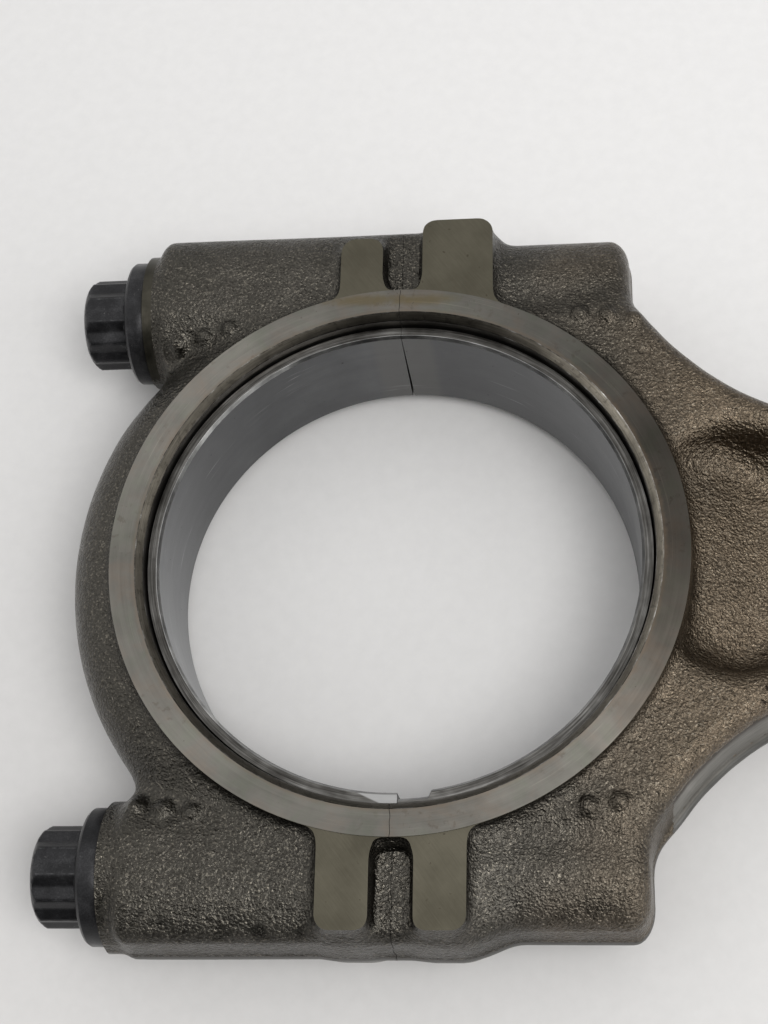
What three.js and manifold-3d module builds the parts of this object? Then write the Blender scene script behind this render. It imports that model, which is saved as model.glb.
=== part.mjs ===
// Forged, fracture-split connecting rod for a heavy-duty diesel engine:
// big end with bearing cap, two half bearing shells, two twelve-point flange
// bolts, I-beam shank, and small end with its bush.
// Millimetres. +X runs along the rod from the big end to the small end, +Z is
// the direction of both bore axes, and the part lies flat on z = 0. The origin
// is the centre of the bottom of the bounding box.
import * as THREE from 'three';
import { mergeVertices } from 'three/addons/utils/BufferGeometryUtils.js';
import Module from 'manifold-3d';

// ---- driving dimensions (mm, in the big-end bore's own frame: x = y = 0 on
// ---- the bore axis, z = 0 on the mid-plane) ---------------------------------
const CENTRES = 256;          // big-end bore to small-end bore
const HALF_W = 16.6;          // half width over the thrust faces
const RING_R = 53.64;         // machined thrust ring, outer radius
const CHAMFER_R = 48.75;      // mouth of the bore chamfer
const HOUSING_R = 47.5;       // housing bore
const SHELL_OUT = 47.2;       // bearing shell, outside
const SHELL_MID = 45.6;       // bearing shell, back / lining boundary
const SHELL_IN = 45.0;        // bearing shell, running surface
const SHELL_HALF = 13.1;      // half length of a shell
const TANG = { x: 6.6, r: 48.5, z0: 4.9, z1: 12.6 };  // locating tang of a shell, at the -Y joint
const BODY_HALF = 14.4;       // half height of the forged body
const EDGE_R = 9;             // rounding of the forged body's outer edge
const CROWN_R = 63;           // outer radius of the cap at mid-plane
const BOLT_Y = 57.3;          // bolt axes at y = +-BOLT_Y
const SEAT_X = -52.4;         // bolt seat plane on the cap
const SEAT_R = 13.6;          // turned neck behind the seat
const CAP_BOSS = { a: 13.9, b: BODY_HALF, r: 11 };   // rounded section, cap side
const ROD_BOSS = { a: 12.5, b: 12.8, r: 11.4 };      // rounded section, rod side
const ROD_BOSS_X = 44.6;      // end of the rod-side boss
const SPLIT_GAP = 0.15;       // half gap kept at the fracture plane
const PAD_TOP = 16.4;         // machined pads beside the fracture plane
const GROOVE = { x0: -3.3, x1: 4.1, y: 54.4, z: 9.5 };  // groove between the pads
const THREAD_R = 7.0;         // M14 bolt
const WAIST_R = 6.2;          // its waisted shank
const HOLE_R = 7.4;           // bolt hole
const BOLT_END_X = 36;        // bolt tip
const HOLE_END_X = 40;        // bottom of the blind hole
const FLANGE_R = 12.5;
const FLANGE_T = 4.3;
const HEAD_R = 9.4;           // across the points of the twelve-point head
const HEAD_L = 9.6;           // head length beyond the flange
const EYE_R = 39;             // small-end eye, forged outside
const EYE_FACE_R = 36.2;      // its machined side faces
const PIN_HOUSING_R = 27.6;   // small-end bore
const BUSH_OUT = 27.3;
const BUSH_IN = 25;
const BUSH_HALF = 16.2;
const WEB_HALF = 3.6;         // half thickness of its web
const SEG = 80;               // facets round the big bores

const BBOX_MIN_X = SEAT_X - FLANGE_T - HEAD_L;
const BBOX_MAX_X = CENTRES + EYE_R;
const SHIFT_X = -(BBOX_MIN_X + BBOX_MAX_X) / 2;

// ---- solids -------------------------------------------------------------------
const wasm = await Module();
wasm.setup();

function solid(geometry) {
  const g = geometry.clone();
  g.deleteAttribute('normal');
  g.deleteAttribute('uv');
  const m = mergeVertices(g, 1e-4);
  return new wasm.Manifold(new wasm.Mesh({
    numProp: 3,
    vertProperties: Float32Array.from(m.attributes.position.array),
    triVerts: Uint32Array.from(m.index.array),
  }));
}
function geometryOf(manifold) {
  const mesh = manifold.getMesh();
  const g = new THREE.BufferGeometry();
  const out = new Float32Array((mesh.vertProperties.length / mesh.numProp) * 3);
  for (let i = 0; i < out.length / 3; i++) {
    for (let k = 0; k < 3; k++) out[i * 3 + k] = mesh.vertProperties[i * mesh.numProp + k];
  }
  g.setAttribute('position', new THREE.BufferAttribute(out, 3));
  g.setIndex(new THREE.BufferAttribute(Uint32Array.from(mesh.triVerts), 1));
  g.computeVertexNormals();
  return g;
}
function box(x0, x1, y0, y1, z0, z1) {
  const g = new THREE.BoxGeometry(x1 - x0, y1 - y0, z1 - z0);
  g.translate((x0 + x1) / 2, (y0 + y1) / 2, (z0 + z1) / 2);
  return solid(g);
}
// turned about Z from (radius, z) pairs that start and end on the axis
function turnedZ(profile, segments = SEG, x = 0, y = 0) {
  const g = new THREE.LatheGeometry(profile.map(([r, z]) => new THREE.Vector2(r, z)), segments);
  g.rotateX(Math.PI / 2);
  g.translate(x, y, 0);
  return solid(g);
}
// turned about an axis parallel to X from (radius, x) pairs
function turnedX(profile, segments, y, z) {
  const g = new THREE.LatheGeometry(profile.map(([r, x]) => new THREE.Vector2(r, x)), segments);
  g.rotateZ(-Math.PI / 2);
  g.translate(0, y, z);
  return solid(g);
}
// plan outline pushed out to +-half, with its outer edge rounded inwards
function slab(points, half, edge, segments = 4, up = half) {
  const shape = new THREE.Shape(points.map(([x, y]) => new THREE.Vector2(x, y)));
  const g = new THREE.ExtrudeGeometry(shape, {
    depth: half + up - 2 * edge, bevelEnabled: edge > 0, bevelThickness: edge, bevelSize: edge,
    bevelOffset: -edge, bevelSegments: segments, curveSegments: 12,
  });
  g.translate(0, 0, -half + edge);
  return solid(g);
}
// plan outline cut straight through from z0 to z1
function prism(points, z0, z1) {
  const shape = new THREE.Shape(points.map(([x, y]) => new THREE.Vector2(x, y)));
  const g = new THREE.ExtrudeGeometry(shape, { depth: z1 - z0, bevelEnabled: false });
  g.translate(0, 0, z0);
  return solid(g);
}
function roundedPlan(x0, x1, y0, y1, r) {
  const s = new THREE.Shape();
  s.moveTo(x0 + r, y0);
  s.lineTo(x1 - r, y0); s.absarc(x1 - r, y0 + r, r, -Math.PI / 2, 0, false);
  s.lineTo(x1, y1 - r); s.absarc(x1 - r, y1 - r, r, 0, Math.PI / 2, false);
  s.lineTo(x0 + r, y1); s.absarc(x0 + r, y1 - r, r, Math.PI / 2, Math.PI, false);
  s.lineTo(x0, y0 + r); s.absarc(x0 + r, y0 + r, r, Math.PI, 1.5 * Math.PI, false);
  return s.getPoints(4).map((p) => [p.x, p.y]);
}
// bolt boss: rounded section in the YZ plane carried along X
function boss({ a, b, r }, x0, x1, y, edge) {
  const s = new THREE.Shape();
  s.moveTo(-b + r, -a);
  s.lineTo(b - r, -a); s.absarc(b - r, -a + r, r, -Math.PI / 2, 0, false);
  s.lineTo(b, a - r); s.absarc(b - r, a - r, r, 0, Math.PI / 2, false);
  s.lineTo(-b + r, a); s.absarc(-b + r, a - r, r, Math.PI / 2, Math.PI, false);
  s.lineTo(-b, -a + r); s.absarc(-b + r, -a + r, r, Math.PI, 1.5 * Math.PI, false);
  const g = new THREE.ExtrudeGeometry(s, {
    depth: x1 - x0 - 2 * edge, bevelEnabled: true, bevelThickness: edge, bevelSize: edge,
    bevelOffset: -edge, bevelSegments: 2, curveSegments: 6,
  });
  g.translate(0, 0, x0 + edge);
  g.rotateY(Math.PI / 2);          // (sx, sy, sz) -> (sz, sy, -sx)
  g.translate(0, y, 0);
  return solid(g);
}
// smooth open curve through points, as [x, y] pairs
function curve(points, n) {
  return new THREE.CatmullRomCurve3(points.map(([x, y]) => new THREE.Vector3(x, y, 0)), false, 'centripetal')
    .getPoints(n).map((p) => [p.x, p.y]);
}
function arc(cx, cy, r, a0, a1, n) {
  const out = [];
  for (let i = 0; i <= n; i++) {
    const a = THREE.MathUtils.degToRad(a0 + (a1 - a0) * i / n);
    out.push([cx + r * Math.cos(a), cy + r * Math.sin(a)]);
  }
  return out;
}

// ---- the forging, before it is cracked ----------------------------------------
// neck and shank outline at mid-plane, +Y side, from the boss to the eye
const neck = curve([
  [47, 51], [50, 46.5], [53, 42.6], [57, 38.6], [60, 36], [66.5, 31.6],
  [80, 26], [96, 23], [120, 21], [160, 19.6], [198, 19.4], [212, 21], [222, 25.5], [229, 30.5],
], 26);
const half = [
  ...arc(0, 0, CROWN_R, 180, 128, 12),
  [-30, BOLT_Y], [0, BOLT_Y + 1], [43, BOLT_Y],
  ...neck,
  ...arc(CENTRES, 0, EYE_R, 128, 0, 18),
];
const bodyOutline = [...half, ...half.slice(1, -1).reverse().map(([x, y]) => [x, -y])].reverse();

let forging = slab(bodyOutline, BODY_HALF, EDGE_R, 3);
for (const s of [1, -1]) {
  forging = forging.add(boss(CAP_BOSS, SEAT_X + 1.8, 2, s * BOLT_Y, 3));
  forging = forging.add(turnedX([[0, SEAT_X], [SEAT_R, SEAT_X], [SEAT_R, -8], [0, -8]], 32, s * BOLT_Y, 0));
  forging = forging.add(boss(ROD_BOSS, -2, ROD_BOSS_X, s * BOLT_Y, 4));
  // the cap-side section carries on a little past the fracture plane
  forging = forging.add(boss(CAP_BOSS, -12, 20, s * BOLT_Y, 3));
}
// pads beside the fracture plane; one lug of the rod stands out further
forging = forging.add(prism(roundedPlan(-11.9, 8, 40, 65.6, 2.5), -PAD_TOP, PAD_TOP));
forging = forging.add(prism(roundedPlan(0, 18.1, 40, 69.2, 3), -PAD_TOP, PAD_TOP));
forging = forging.add(prism(roundedPlan(-12.7, 13.3, -69.4, -40, 2.5), -PAD_TOP, PAD_TOP));
// machined thrust ring
forging = forging.add(turnedZ([[0, -HALF_W], [RING_R, -HALF_W], [RING_R, HALF_W], [0, HALF_W]]));
// small-end side faces
forging = forging.add(turnedZ(
  [[0, -HALF_W], [EYE_FACE_R, -HALF_W], [EYE_FACE_R, HALF_W], [0, HALF_W]], 60, CENTRES, 0));

// I-beam pockets, both sides
const pocketHalf = curve([
  ...arc(0, 0, 52.5, 0, 21, 4), [55.2, 21.8], [60, 23.9], [67, 23.6], [80, 18.4], [96, 15.2], [120, 13.2], [160, 12],
  [194, 11.8], [203, 9.6], [208, 5], [209, 0],
], 30);
const pocket = [...pocketHalf, ...pocketHalf.slice(1, -1).reverse().map(([x, y]) => [x, -y])].reverse();
forging = forging.subtract(slab(pocket, -WEB_HALF, 0, 1, 20));
forging = forging.subtract(slab(pocket, 20, 0, 1, -WEB_HALF));
// the ring's wall stands at the root of the pocket
forging = forging.add(turnedZ([[0, -HALF_W], [RING_R, -HALF_W], [RING_R, HALF_W], [0, HALF_W]]));

// grooves between the pads
for (const s of [1, -1]) {
  for (const t of [1, -1]) {
    const w = (GROOVE.x1 - GROOVE.x0) / 2;
    const plan = [
      ...arc((GROOVE.x0 + GROOVE.x1) / 2, GROOVE.y + w, w, 0, -180, 8), [GROOVE.x0, 80], [GROOVE.x1, 80],
    ].map(([x, y]) => [x, s * y]);
    const path = s > 0 ? plan.reverse() : plan;
    forging = forging.subtract(t > 0 ? prism(path, GROOVE.z, 20) : prism(path, -20, -GROOVE.z));
  }
}

// big-end housing bore with its chamfers, and the small-end bore
forging = forging.subtract(turnedZ([
  [0, -HALF_W - 1], [CHAMFER_R + 1, -HALF_W - 1], [HOUSING_R, -HALF_W + (CHAMFER_R - HOUSING_R)],
  [HOUSING_R, HALF_W - (CHAMFER_R - HOUSING_R)], [CHAMFER_R + 1, HALF_W + 1], [0, HALF_W + 1],
]));
forging = forging.subtract(turnedZ([
  [0, -HALF_W - 1], [PIN_HOUSING_R + 2.2, -HALF_W - 1], [PIN_HOUSING_R, -HALF_W + 1.2],
  [PIN_HOUSING_R, HALF_W - 1.2], [PIN_HOUSING_R + 2.2, HALF_W + 1], [0, HALF_W + 1],
], 60, CENTRES, 0));
// bolt holes, blind in the rod, with a conical bottom
for (const s of [1, -1]) {
  forging = forging.subtract(turnedX(
    [[0, SEAT_X - 2], [HOLE_R, SEAT_X - 2], [HOLE_R, HOLE_END_X - 3], [0, HOLE_END_X + 1]], 24, s * BOLT_Y, 0));
}
// oil hole in the crown of the small end
const oilHole = turnedX([[0, CENTRES + 20], [2.5, CENTRES + 20], [2.5, CENTRES + 50], [0, CENTRES + 50]], 12, 0, 0);
forging = forging.subtract(oilHole);

// milled notches that take the shells' tangs: rod side high, cap side low
forging = forging.subtract(box(0, TANG.x + 0.4, -TANG.r - 0.4, -44, TANG.z0 - 0.4, TANG.z1 + 0.4));
forging = forging.subtract(box(-TANG.x - 0.4, 0, -TANG.r - 0.4, -44, -TANG.z1 - 0.4, -TANG.z0 + 0.4));

const rodForging = forging.intersect(box(SPLIT_GAP, 400, -100, 100, -30, 30));
const capForging = forging.intersect(box(-100, -SPLIT_GAP, -100, 100, -30, 30));

// ---- bearing shells ------------------------------------------------------------
function halfRing(rOut, rIn, sign) {
  const outer = turnedZ([[0, -SHELL_HALF], [rOut, -SHELL_HALF], [rOut, SHELL_HALF], [0, SHELL_HALF]]);
  const inner = turnedZ([[0, -20], [rIn, -20], [rIn, 20], [0, 20]]);
  const keep = sign > 0 ? box(SPLIT_GAP, 60, -60, 60, -20, 20) : box(-60, -SPLIT_GAP, -60, 60, -20, 20);
  return outer.subtract(inner).intersect(keep);
}
// steel back with its tang, pressed out into the housing's notch
function shellBack(sign) {
  const tang = sign > 0
    ? box(SPLIT_GAP, TANG.x, -TANG.r, -SHELL_MID - 0.7, TANG.z0, TANG.z1)
    : box(-TANG.x, -SPLIT_GAP, -TANG.r, -SHELL_MID - 0.7, -TANG.z1, -TANG.z0);
  return halfRing(SHELL_OUT, SHELL_MID, sign).add(tang);
}

// ---- bolts -----------------------------------------------------------------------
function boltSolid(y) {
  const x0 = SEAT_X - FLANGE_T;
  const turned = turnedX([
    [0, x0], [FLANGE_R - 1, x0], [FLANGE_R, x0 + 1], [FLANGE_R, SEAT_X], [WAIST_R + 1.0, SEAT_X],
    [WAIST_R, SEAT_X + 2], [WAIST_R, 5.5], [THREAD_R, 7], [THREAD_R, BOLT_END_X - 1.2], [THREAD_R - 1.2, BOLT_END_X],
    [0, BOLT_END_X],
  ], 32, 0, 0);
  // twelve points from two hexagons a twelfth of a turn apart
  const inR = HEAD_R * Math.cos(Math.PI / 6) / Math.cos(Math.PI / 12);
  const star = new THREE.Shape();
  for (let i = 0; i < 24; i++) {
    const r = i % 2 === 0 ? HEAD_R : inR;
    const a = i * Math.PI / 12;
    if (i === 0) star.moveTo(r, 0); else star.lineTo(r * Math.cos(a), r * Math.sin(a));
  }
  const g = new THREE.ExtrudeGeometry(star, { depth: HEAD_L + 1, bevelEnabled: false });
  g.rotateY(-Math.PI / 2);                 // runs towards -X
  g.translate(x0 + 1, 0, 0);
  const trim = turnedX([
    [0, x0 - HEAD_L], [HEAD_R - 2.2, x0 - HEAD_L], [HEAD_R + 0.2, x0 - HEAD_L + 1.8], [HEAD_R + 0.2, x0 + 2], [0, x0 + 2],
  ], 24, 0, 0);
  const s = turned.add(solid(g).intersect(trim));
  return s.translate([0, y, 0]);
}

// ---- small-end bush ---------------------------------------------------------------
const bush = turnedZ([
  [0, -BUSH_HALF], [BUSH_OUT, -BUSH_HALF], [BUSH_OUT, BUSH_HALF], [0, BUSH_HALF],
], 60, CENTRES, 0).subtract(turnedZ([[0, -20], [BUSH_IN, -20], [BUSH_IN, 20], [0, 20]], 60, CENTRES, 0)).subtract(oilHole);

// ---- scene ---------------------------------------------------------------------------
const forged = { color: 0x4a443b, roughness: 0.55, metalness: 0.8 };
const steelBack = { color: 0x8b8d8f, roughness: 0.45, metalness: 0.9 };
const lining = { color: 0x9a9ea3, roughness: 0.35, metalness: 0.9 };
const black = { color: 0x1d1e20, roughness: 0.5, metalness: 0.6 };
const bronze = { color: 0x9c7a45, roughness: 0.35, metalness: 0.9 };

const part = new THREE.Group();
part.position.set(SHIFT_X, 0, HALF_W);
function add(name, manifold, look) {
  const mesh = new THREE.Mesh(geometryOf(manifold), new THREE.MeshStandardMaterial(look));
  mesh.name = name;
  part.add(mesh);
}
add('connecting_rod', rodForging, forged);
add('bearing_cap', capForging, forged);
add('rod_shell_back', shellBack(1), steelBack);
add('rod_shell_lining', halfRing(SHELL_MID, SHELL_IN, 1), lining);
add('cap_shell_back', shellBack(-1), steelBack);
add('cap_shell_lining', halfRing(SHELL_MID, SHELL_IN, -1), lining);
add('cap_bolt_left', boltSolid(BOLT_Y), black);
add('cap_bolt_right', boltSolid(-BOLT_Y), black);
add('small_end_bush', bush, bronze);

export default part;
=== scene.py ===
import math

import bmesh
import bpy
import numpy as np
from mathutils import Matrix, Vector


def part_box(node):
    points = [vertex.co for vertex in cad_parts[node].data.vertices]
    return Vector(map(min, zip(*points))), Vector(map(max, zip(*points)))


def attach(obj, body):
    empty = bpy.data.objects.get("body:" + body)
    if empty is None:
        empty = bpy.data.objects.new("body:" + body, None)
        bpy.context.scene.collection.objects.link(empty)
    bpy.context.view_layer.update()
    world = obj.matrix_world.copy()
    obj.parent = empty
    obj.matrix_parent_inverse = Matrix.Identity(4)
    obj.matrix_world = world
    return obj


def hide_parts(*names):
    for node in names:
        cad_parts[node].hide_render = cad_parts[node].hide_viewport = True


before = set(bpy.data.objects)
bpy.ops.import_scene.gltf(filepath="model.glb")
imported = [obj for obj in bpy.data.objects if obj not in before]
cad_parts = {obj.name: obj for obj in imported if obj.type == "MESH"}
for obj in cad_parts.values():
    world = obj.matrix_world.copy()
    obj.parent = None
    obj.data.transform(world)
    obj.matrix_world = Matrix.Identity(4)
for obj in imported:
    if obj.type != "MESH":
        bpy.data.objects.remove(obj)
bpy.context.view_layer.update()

# ---------------------------------------------------------------------------
# Where things are. The bore frame is the big-end bore's own: x = y = 0 on its
# axis, z = 0 on the rod's mid-plane, millimetres. BORE puts it in the row frame.
# ---------------------------------------------------------------------------
_lo, _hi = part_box("connecting_rod")
_cl, _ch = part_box("bearing_cap")
_sl, _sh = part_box("small_end_bush")
_bl, _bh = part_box("cap_bolt_left")
SPLIT_X = (_lo.x + _ch.x) / 2
BORE = Vector((SPLIT_X, (_sl.y + _sh.y) / 2, (_lo.z + _hi.z) / 2))
MM = 0.001
HALF_W = (_hi.z - _lo.z) / 2 / MM                 # 16.6
CENTRES = ((_sl.x + _sh.x) / 2 - SPLIT_X) / MM    # 256
BOLT_Y = (_bl.y + _bh.y) / 2 / MM                 # 57.3
HEAD_END = (_bl.x - SPLIT_X) / MM                 # -66.3
BOLT_END = (_bh.x - SPLIT_X) / MM                 # 36

RING_R = 53.64        # outer edge of the ground thrust ring
CHAMFER_R = 48.73     # where the ring meets the housing chamfer
HOUSING_R = 47.5
SHELL_OUT = 47.42
SHELL_MID = 45.5
SHELL_IN = 45.0
SHELL_HALF = 13.1
SEAT_X = -52.4        # bolt seats
SEAT_R = 13.6
FLANGE_T = 4.3
FLANGE_R = 12.5
HEAD_R = 9.4
PAD_TOP = 16.4
BODY_HALF = 14.4
CROWN_R = 63.3
EYE_R = 39.0
EYE_FACE_R = 36.2
PIN_HOUSING_R = 27.6
BUSH_OUT = 27.5
BUSH_IN = 25.0
BUSH_HALF = 16.2
HOLE_R = 7.4


def put(co):
    """Bore-frame millimetres to row-frame metres."""
    return np.asarray(co, float) * MM + np.array(BORE)


def new_object(name, verts_mm, faces, smooth=True):
    me = bpy.data.meshes.new(name)
    v = put(verts_mm)
    faces = np.asarray(faces, np.int32) if not isinstance(faces, list) else faces
    if isinstance(faces, np.ndarray):
        n, k = faces.shape
        me.vertices.add(len(v))
        me.vertices.foreach_set("co", v.astype(np.float32).ravel())
        me.loops.add(n * k)
        me.loops.foreach_set("vertex_index", faces.ravel())
        me.polygons.add(n)
        me.polygons.foreach_set("loop_start", np.arange(0, n * k, k, dtype=np.int32))
        me.update(calc_edges=True)
    else:
        me.from_pydata([tuple(x) for x in v], [], faces)
        me.update()
    me.validate()
    if smooth:
        me.polygons.foreach_set("use_smooth", np.ones(len(me.polygons), bool))
    ob = bpy.data.objects.new(name, me)
    bpy.context.scene.collection.objects.link(ob)
    return ob


# ---------------------------------------------------------------------------
# Field of the forged skin: signed distances joined with soft unions, the way
# a forging's walls run into each other with fillets.
# ---------------------------------------------------------------------------
def smin(a, b, k):
    h = np.maximum(k - np.abs(a - b), 0) / k
    return np.minimum(a, b) - h * h * k * 0.25


def smax(a, b, k):
    return -smin(-a, -b, k)


def catmull(points, n):
    p = np.array(points, float)
    p = np.vstack([2 * p[0] - p[1], p, 2 * p[-1] - p[-2]])
    seg = len(p) - 3
    out = []
    for i in range(n + 1):
        t = i / n * seg
        j = min(int(t), seg - 1)
        u = t - j
        p0, p1, p2, p3 = p[j:j + 4]
        d01, d12, d23 = (max(np.linalg.norm(b - a), 1e-9) ** 0.5 for a, b in ((p0, p1), (p1, p2), (p2, p3)))
        m1 = d12 * ((p1 - p0) / d01 - (p2 - p0) / (d01 + d12)) + (p2 - p1)
        m2 = d12 * ((p3 - p2) / d23 - (p3 - p1) / (d12 + d23)) + (p2 - p1)
        c = 2 * p1 - 2 * p2 + m1 + m2
        d = -3 * p1 + 3 * p2 - 2 * m1 - m2
        out.append(c * u ** 3 + d * u ** 2 + m1 * u + p1)
    return np.array(out)


def arc(cx, cy, r, a0, a1, n):
    a = np.radians(np.linspace(a0, a1, n + 1))
    return np.stack([cx + r * np.cos(a), cy + r * np.sin(a)], 1)


NECK = catmull([
    (47.1, 51.2), (50.2, 46.8), (53.2, 42.9), (57.2, 38.9), (60.2, 36.3), (66.7, 31.9), (80.1, 26.3), (96, 23.2), (120, 21),
    (160, 19.6), (198, 19.4), (212, 21), (222, 25.5), (229, 30.5)], 70)
HALF_OUTLINE = np.vstack([
    arc(0, 0, CROWN_R, 180, 128, 40), [(-30, 57.3), (0, 58.3), (42.5, 57.0)], NECK, arc(CENTRES, 0, EYE_R, 128, 0, 50)])
OUTLINE = np.vstack([HALF_OUTLINE, HALF_OUTLINE[1:-1][::-1] * [1, -1]])
POCKET_HALF = np.vstack([
    [(49.5, 0), (49.5, 13.5)],
    catmull([(50.5, 17.5), (53.0, 20.8), (57, 23.0), (62, 24.0), (68, 22.6), (80, 18.0), (96, 15.2), (120, 13.2),
             (160, 12), (194, 11.8), (203, 9.6), (208, 5), (209.2, 0)], 60)])
POCKET = np.vstack([POCKET_HALF, POCKET_HALF[1:-1][::-1] * [1, -1]])


def polygon_distance(X, Y, poly):
    """Signed distance to a closed polygon, negative inside. X and Y broadcast together."""
    X, Y = np.broadcast_arrays(X, Y)
    shape = X.shape
    x, y = X.ravel().astype(np.float32), Y.ravel().astype(np.float32)
    best = np.full(x.shape, 1e12, np.float32)
    inside = np.zeros(x.shape, bool)
    a = poly.astype(np.float32)
    b = np.roll(a, -1, 0)
    for (ax, ay), (bx, by) in zip(a, b):
        ex, ey = bx - ax, by - ay
        l2 = ex * ex + ey * ey
        if l2 < 1e-12:
            continue
        wx, wy = x - ax, y - ay
        t = np.clip((wx * ex + wy * ey) / l2, 0, 1)
        dx, dy = wx - ex * t, wy - ey * t
        best = np.minimum(best, dx * dx + dy * dy)
        cond = (ay > y) != (by > y)
        if ey != 0:
            inside ^= cond & (x < ex * (y - ay) / ey + ax)
    d = np.sqrt(best)
    return np.where(inside, -d, d).reshape(shape)


def soft_corner(qa, qb, ra, rb):
    """Meeting of two walls (each a distance, negative inside) with an elliptical edge, ra by rb."""
    u, v = (qa + ra) / ra, (qb + rb) / rb
    e = np.sqrt(np.maximum(u, 0) ** 2 + np.maximum(v, 0) ** 2) + np.minimum(np.maximum(u, v), 0)
    return (e - 1) * np.minimum(ra, rb)


def slab(d2, Z, half, ra, rb, draft):
    """Extrusion of a plan distance to +-half. Walls lean in from the mid-plane by draft."""
    h = np.abs(Z)
    return soft_corner((d2 + h * draft) / np.sqrt(1 + draft * draft), h - half, ra, rb)


def boss_section(Y, Z, y0, a, b, ra, rb, draft):
    h = np.abs(Z)
    return soft_corner((np.abs(Y - y0) - a + h * draft) / math.sqrt(1 + draft * draft), h - b, ra, rb)


def capped(dsec, X, x0, x1, r):
    """Section carried along X from x0 to x1, ends rounded by r."""
    qs, qx = dsec + r, np.abs(X - (x0 + x1) / 2) - ((x1 - x0) / 2 - r)
    return np.sqrt(np.maximum(qs, 0) ** 2 + np.maximum(qx, 0) ** 2) + np.minimum(np.maximum(qs, qx), 0) - r


def plan_box(X, Y, x0, x1, y0, y1, r):
    qx, qy = np.abs(X - (x0 + x1) / 2) - ((x1 - x0) / 2 - r), np.abs(Y - (y0 + y1) / 2) - ((y1 - y0) / 2 - r)
    return np.sqrt(np.maximum(qx, 0) ** 2 + np.maximum(qy, 0) ** 2) + np.minimum(np.maximum(qx, qy), 0) - r


def drafted(d2, Z, top, draft, edge):
    """Upstanding boss on both faces: plan distance, walls leaning in by draft per mm of height."""
    h = np.abs(Z)
    wall = (d2 + (h - top) * draft) / math.sqrt(1 + draft * draft)
    return smax(wall, h - 18.4, edge)


def step01(x, a, b):
    t = np.clip((x - a) / (b - a), 0, 1)
    return t * t * (3 - 2 * t)


# round raised pips in place of the forged marks: x, y on the upper face
PIPS = []
for cx, cy, tilt, rows in ((-39.6, 47.2, 12, ("ooo",)), (40.0, 47.8, -6, ("ooo",)),
                           (-41.2, -47.4, -10, ("ooo",)), (39.6, -47.2, 8, ("oo.",))):
    t = math.radians(tilt)
    ux, uy = math.cos(t), math.sin(t)
    for j, row in enumerate(rows):
        for i, kind in enumerate(row):
            if kind == "o":
                PIPS.append((cx + (i - 1) * 5.4 * ux, cy + (i - 1) * 5.4 * uy))


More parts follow.
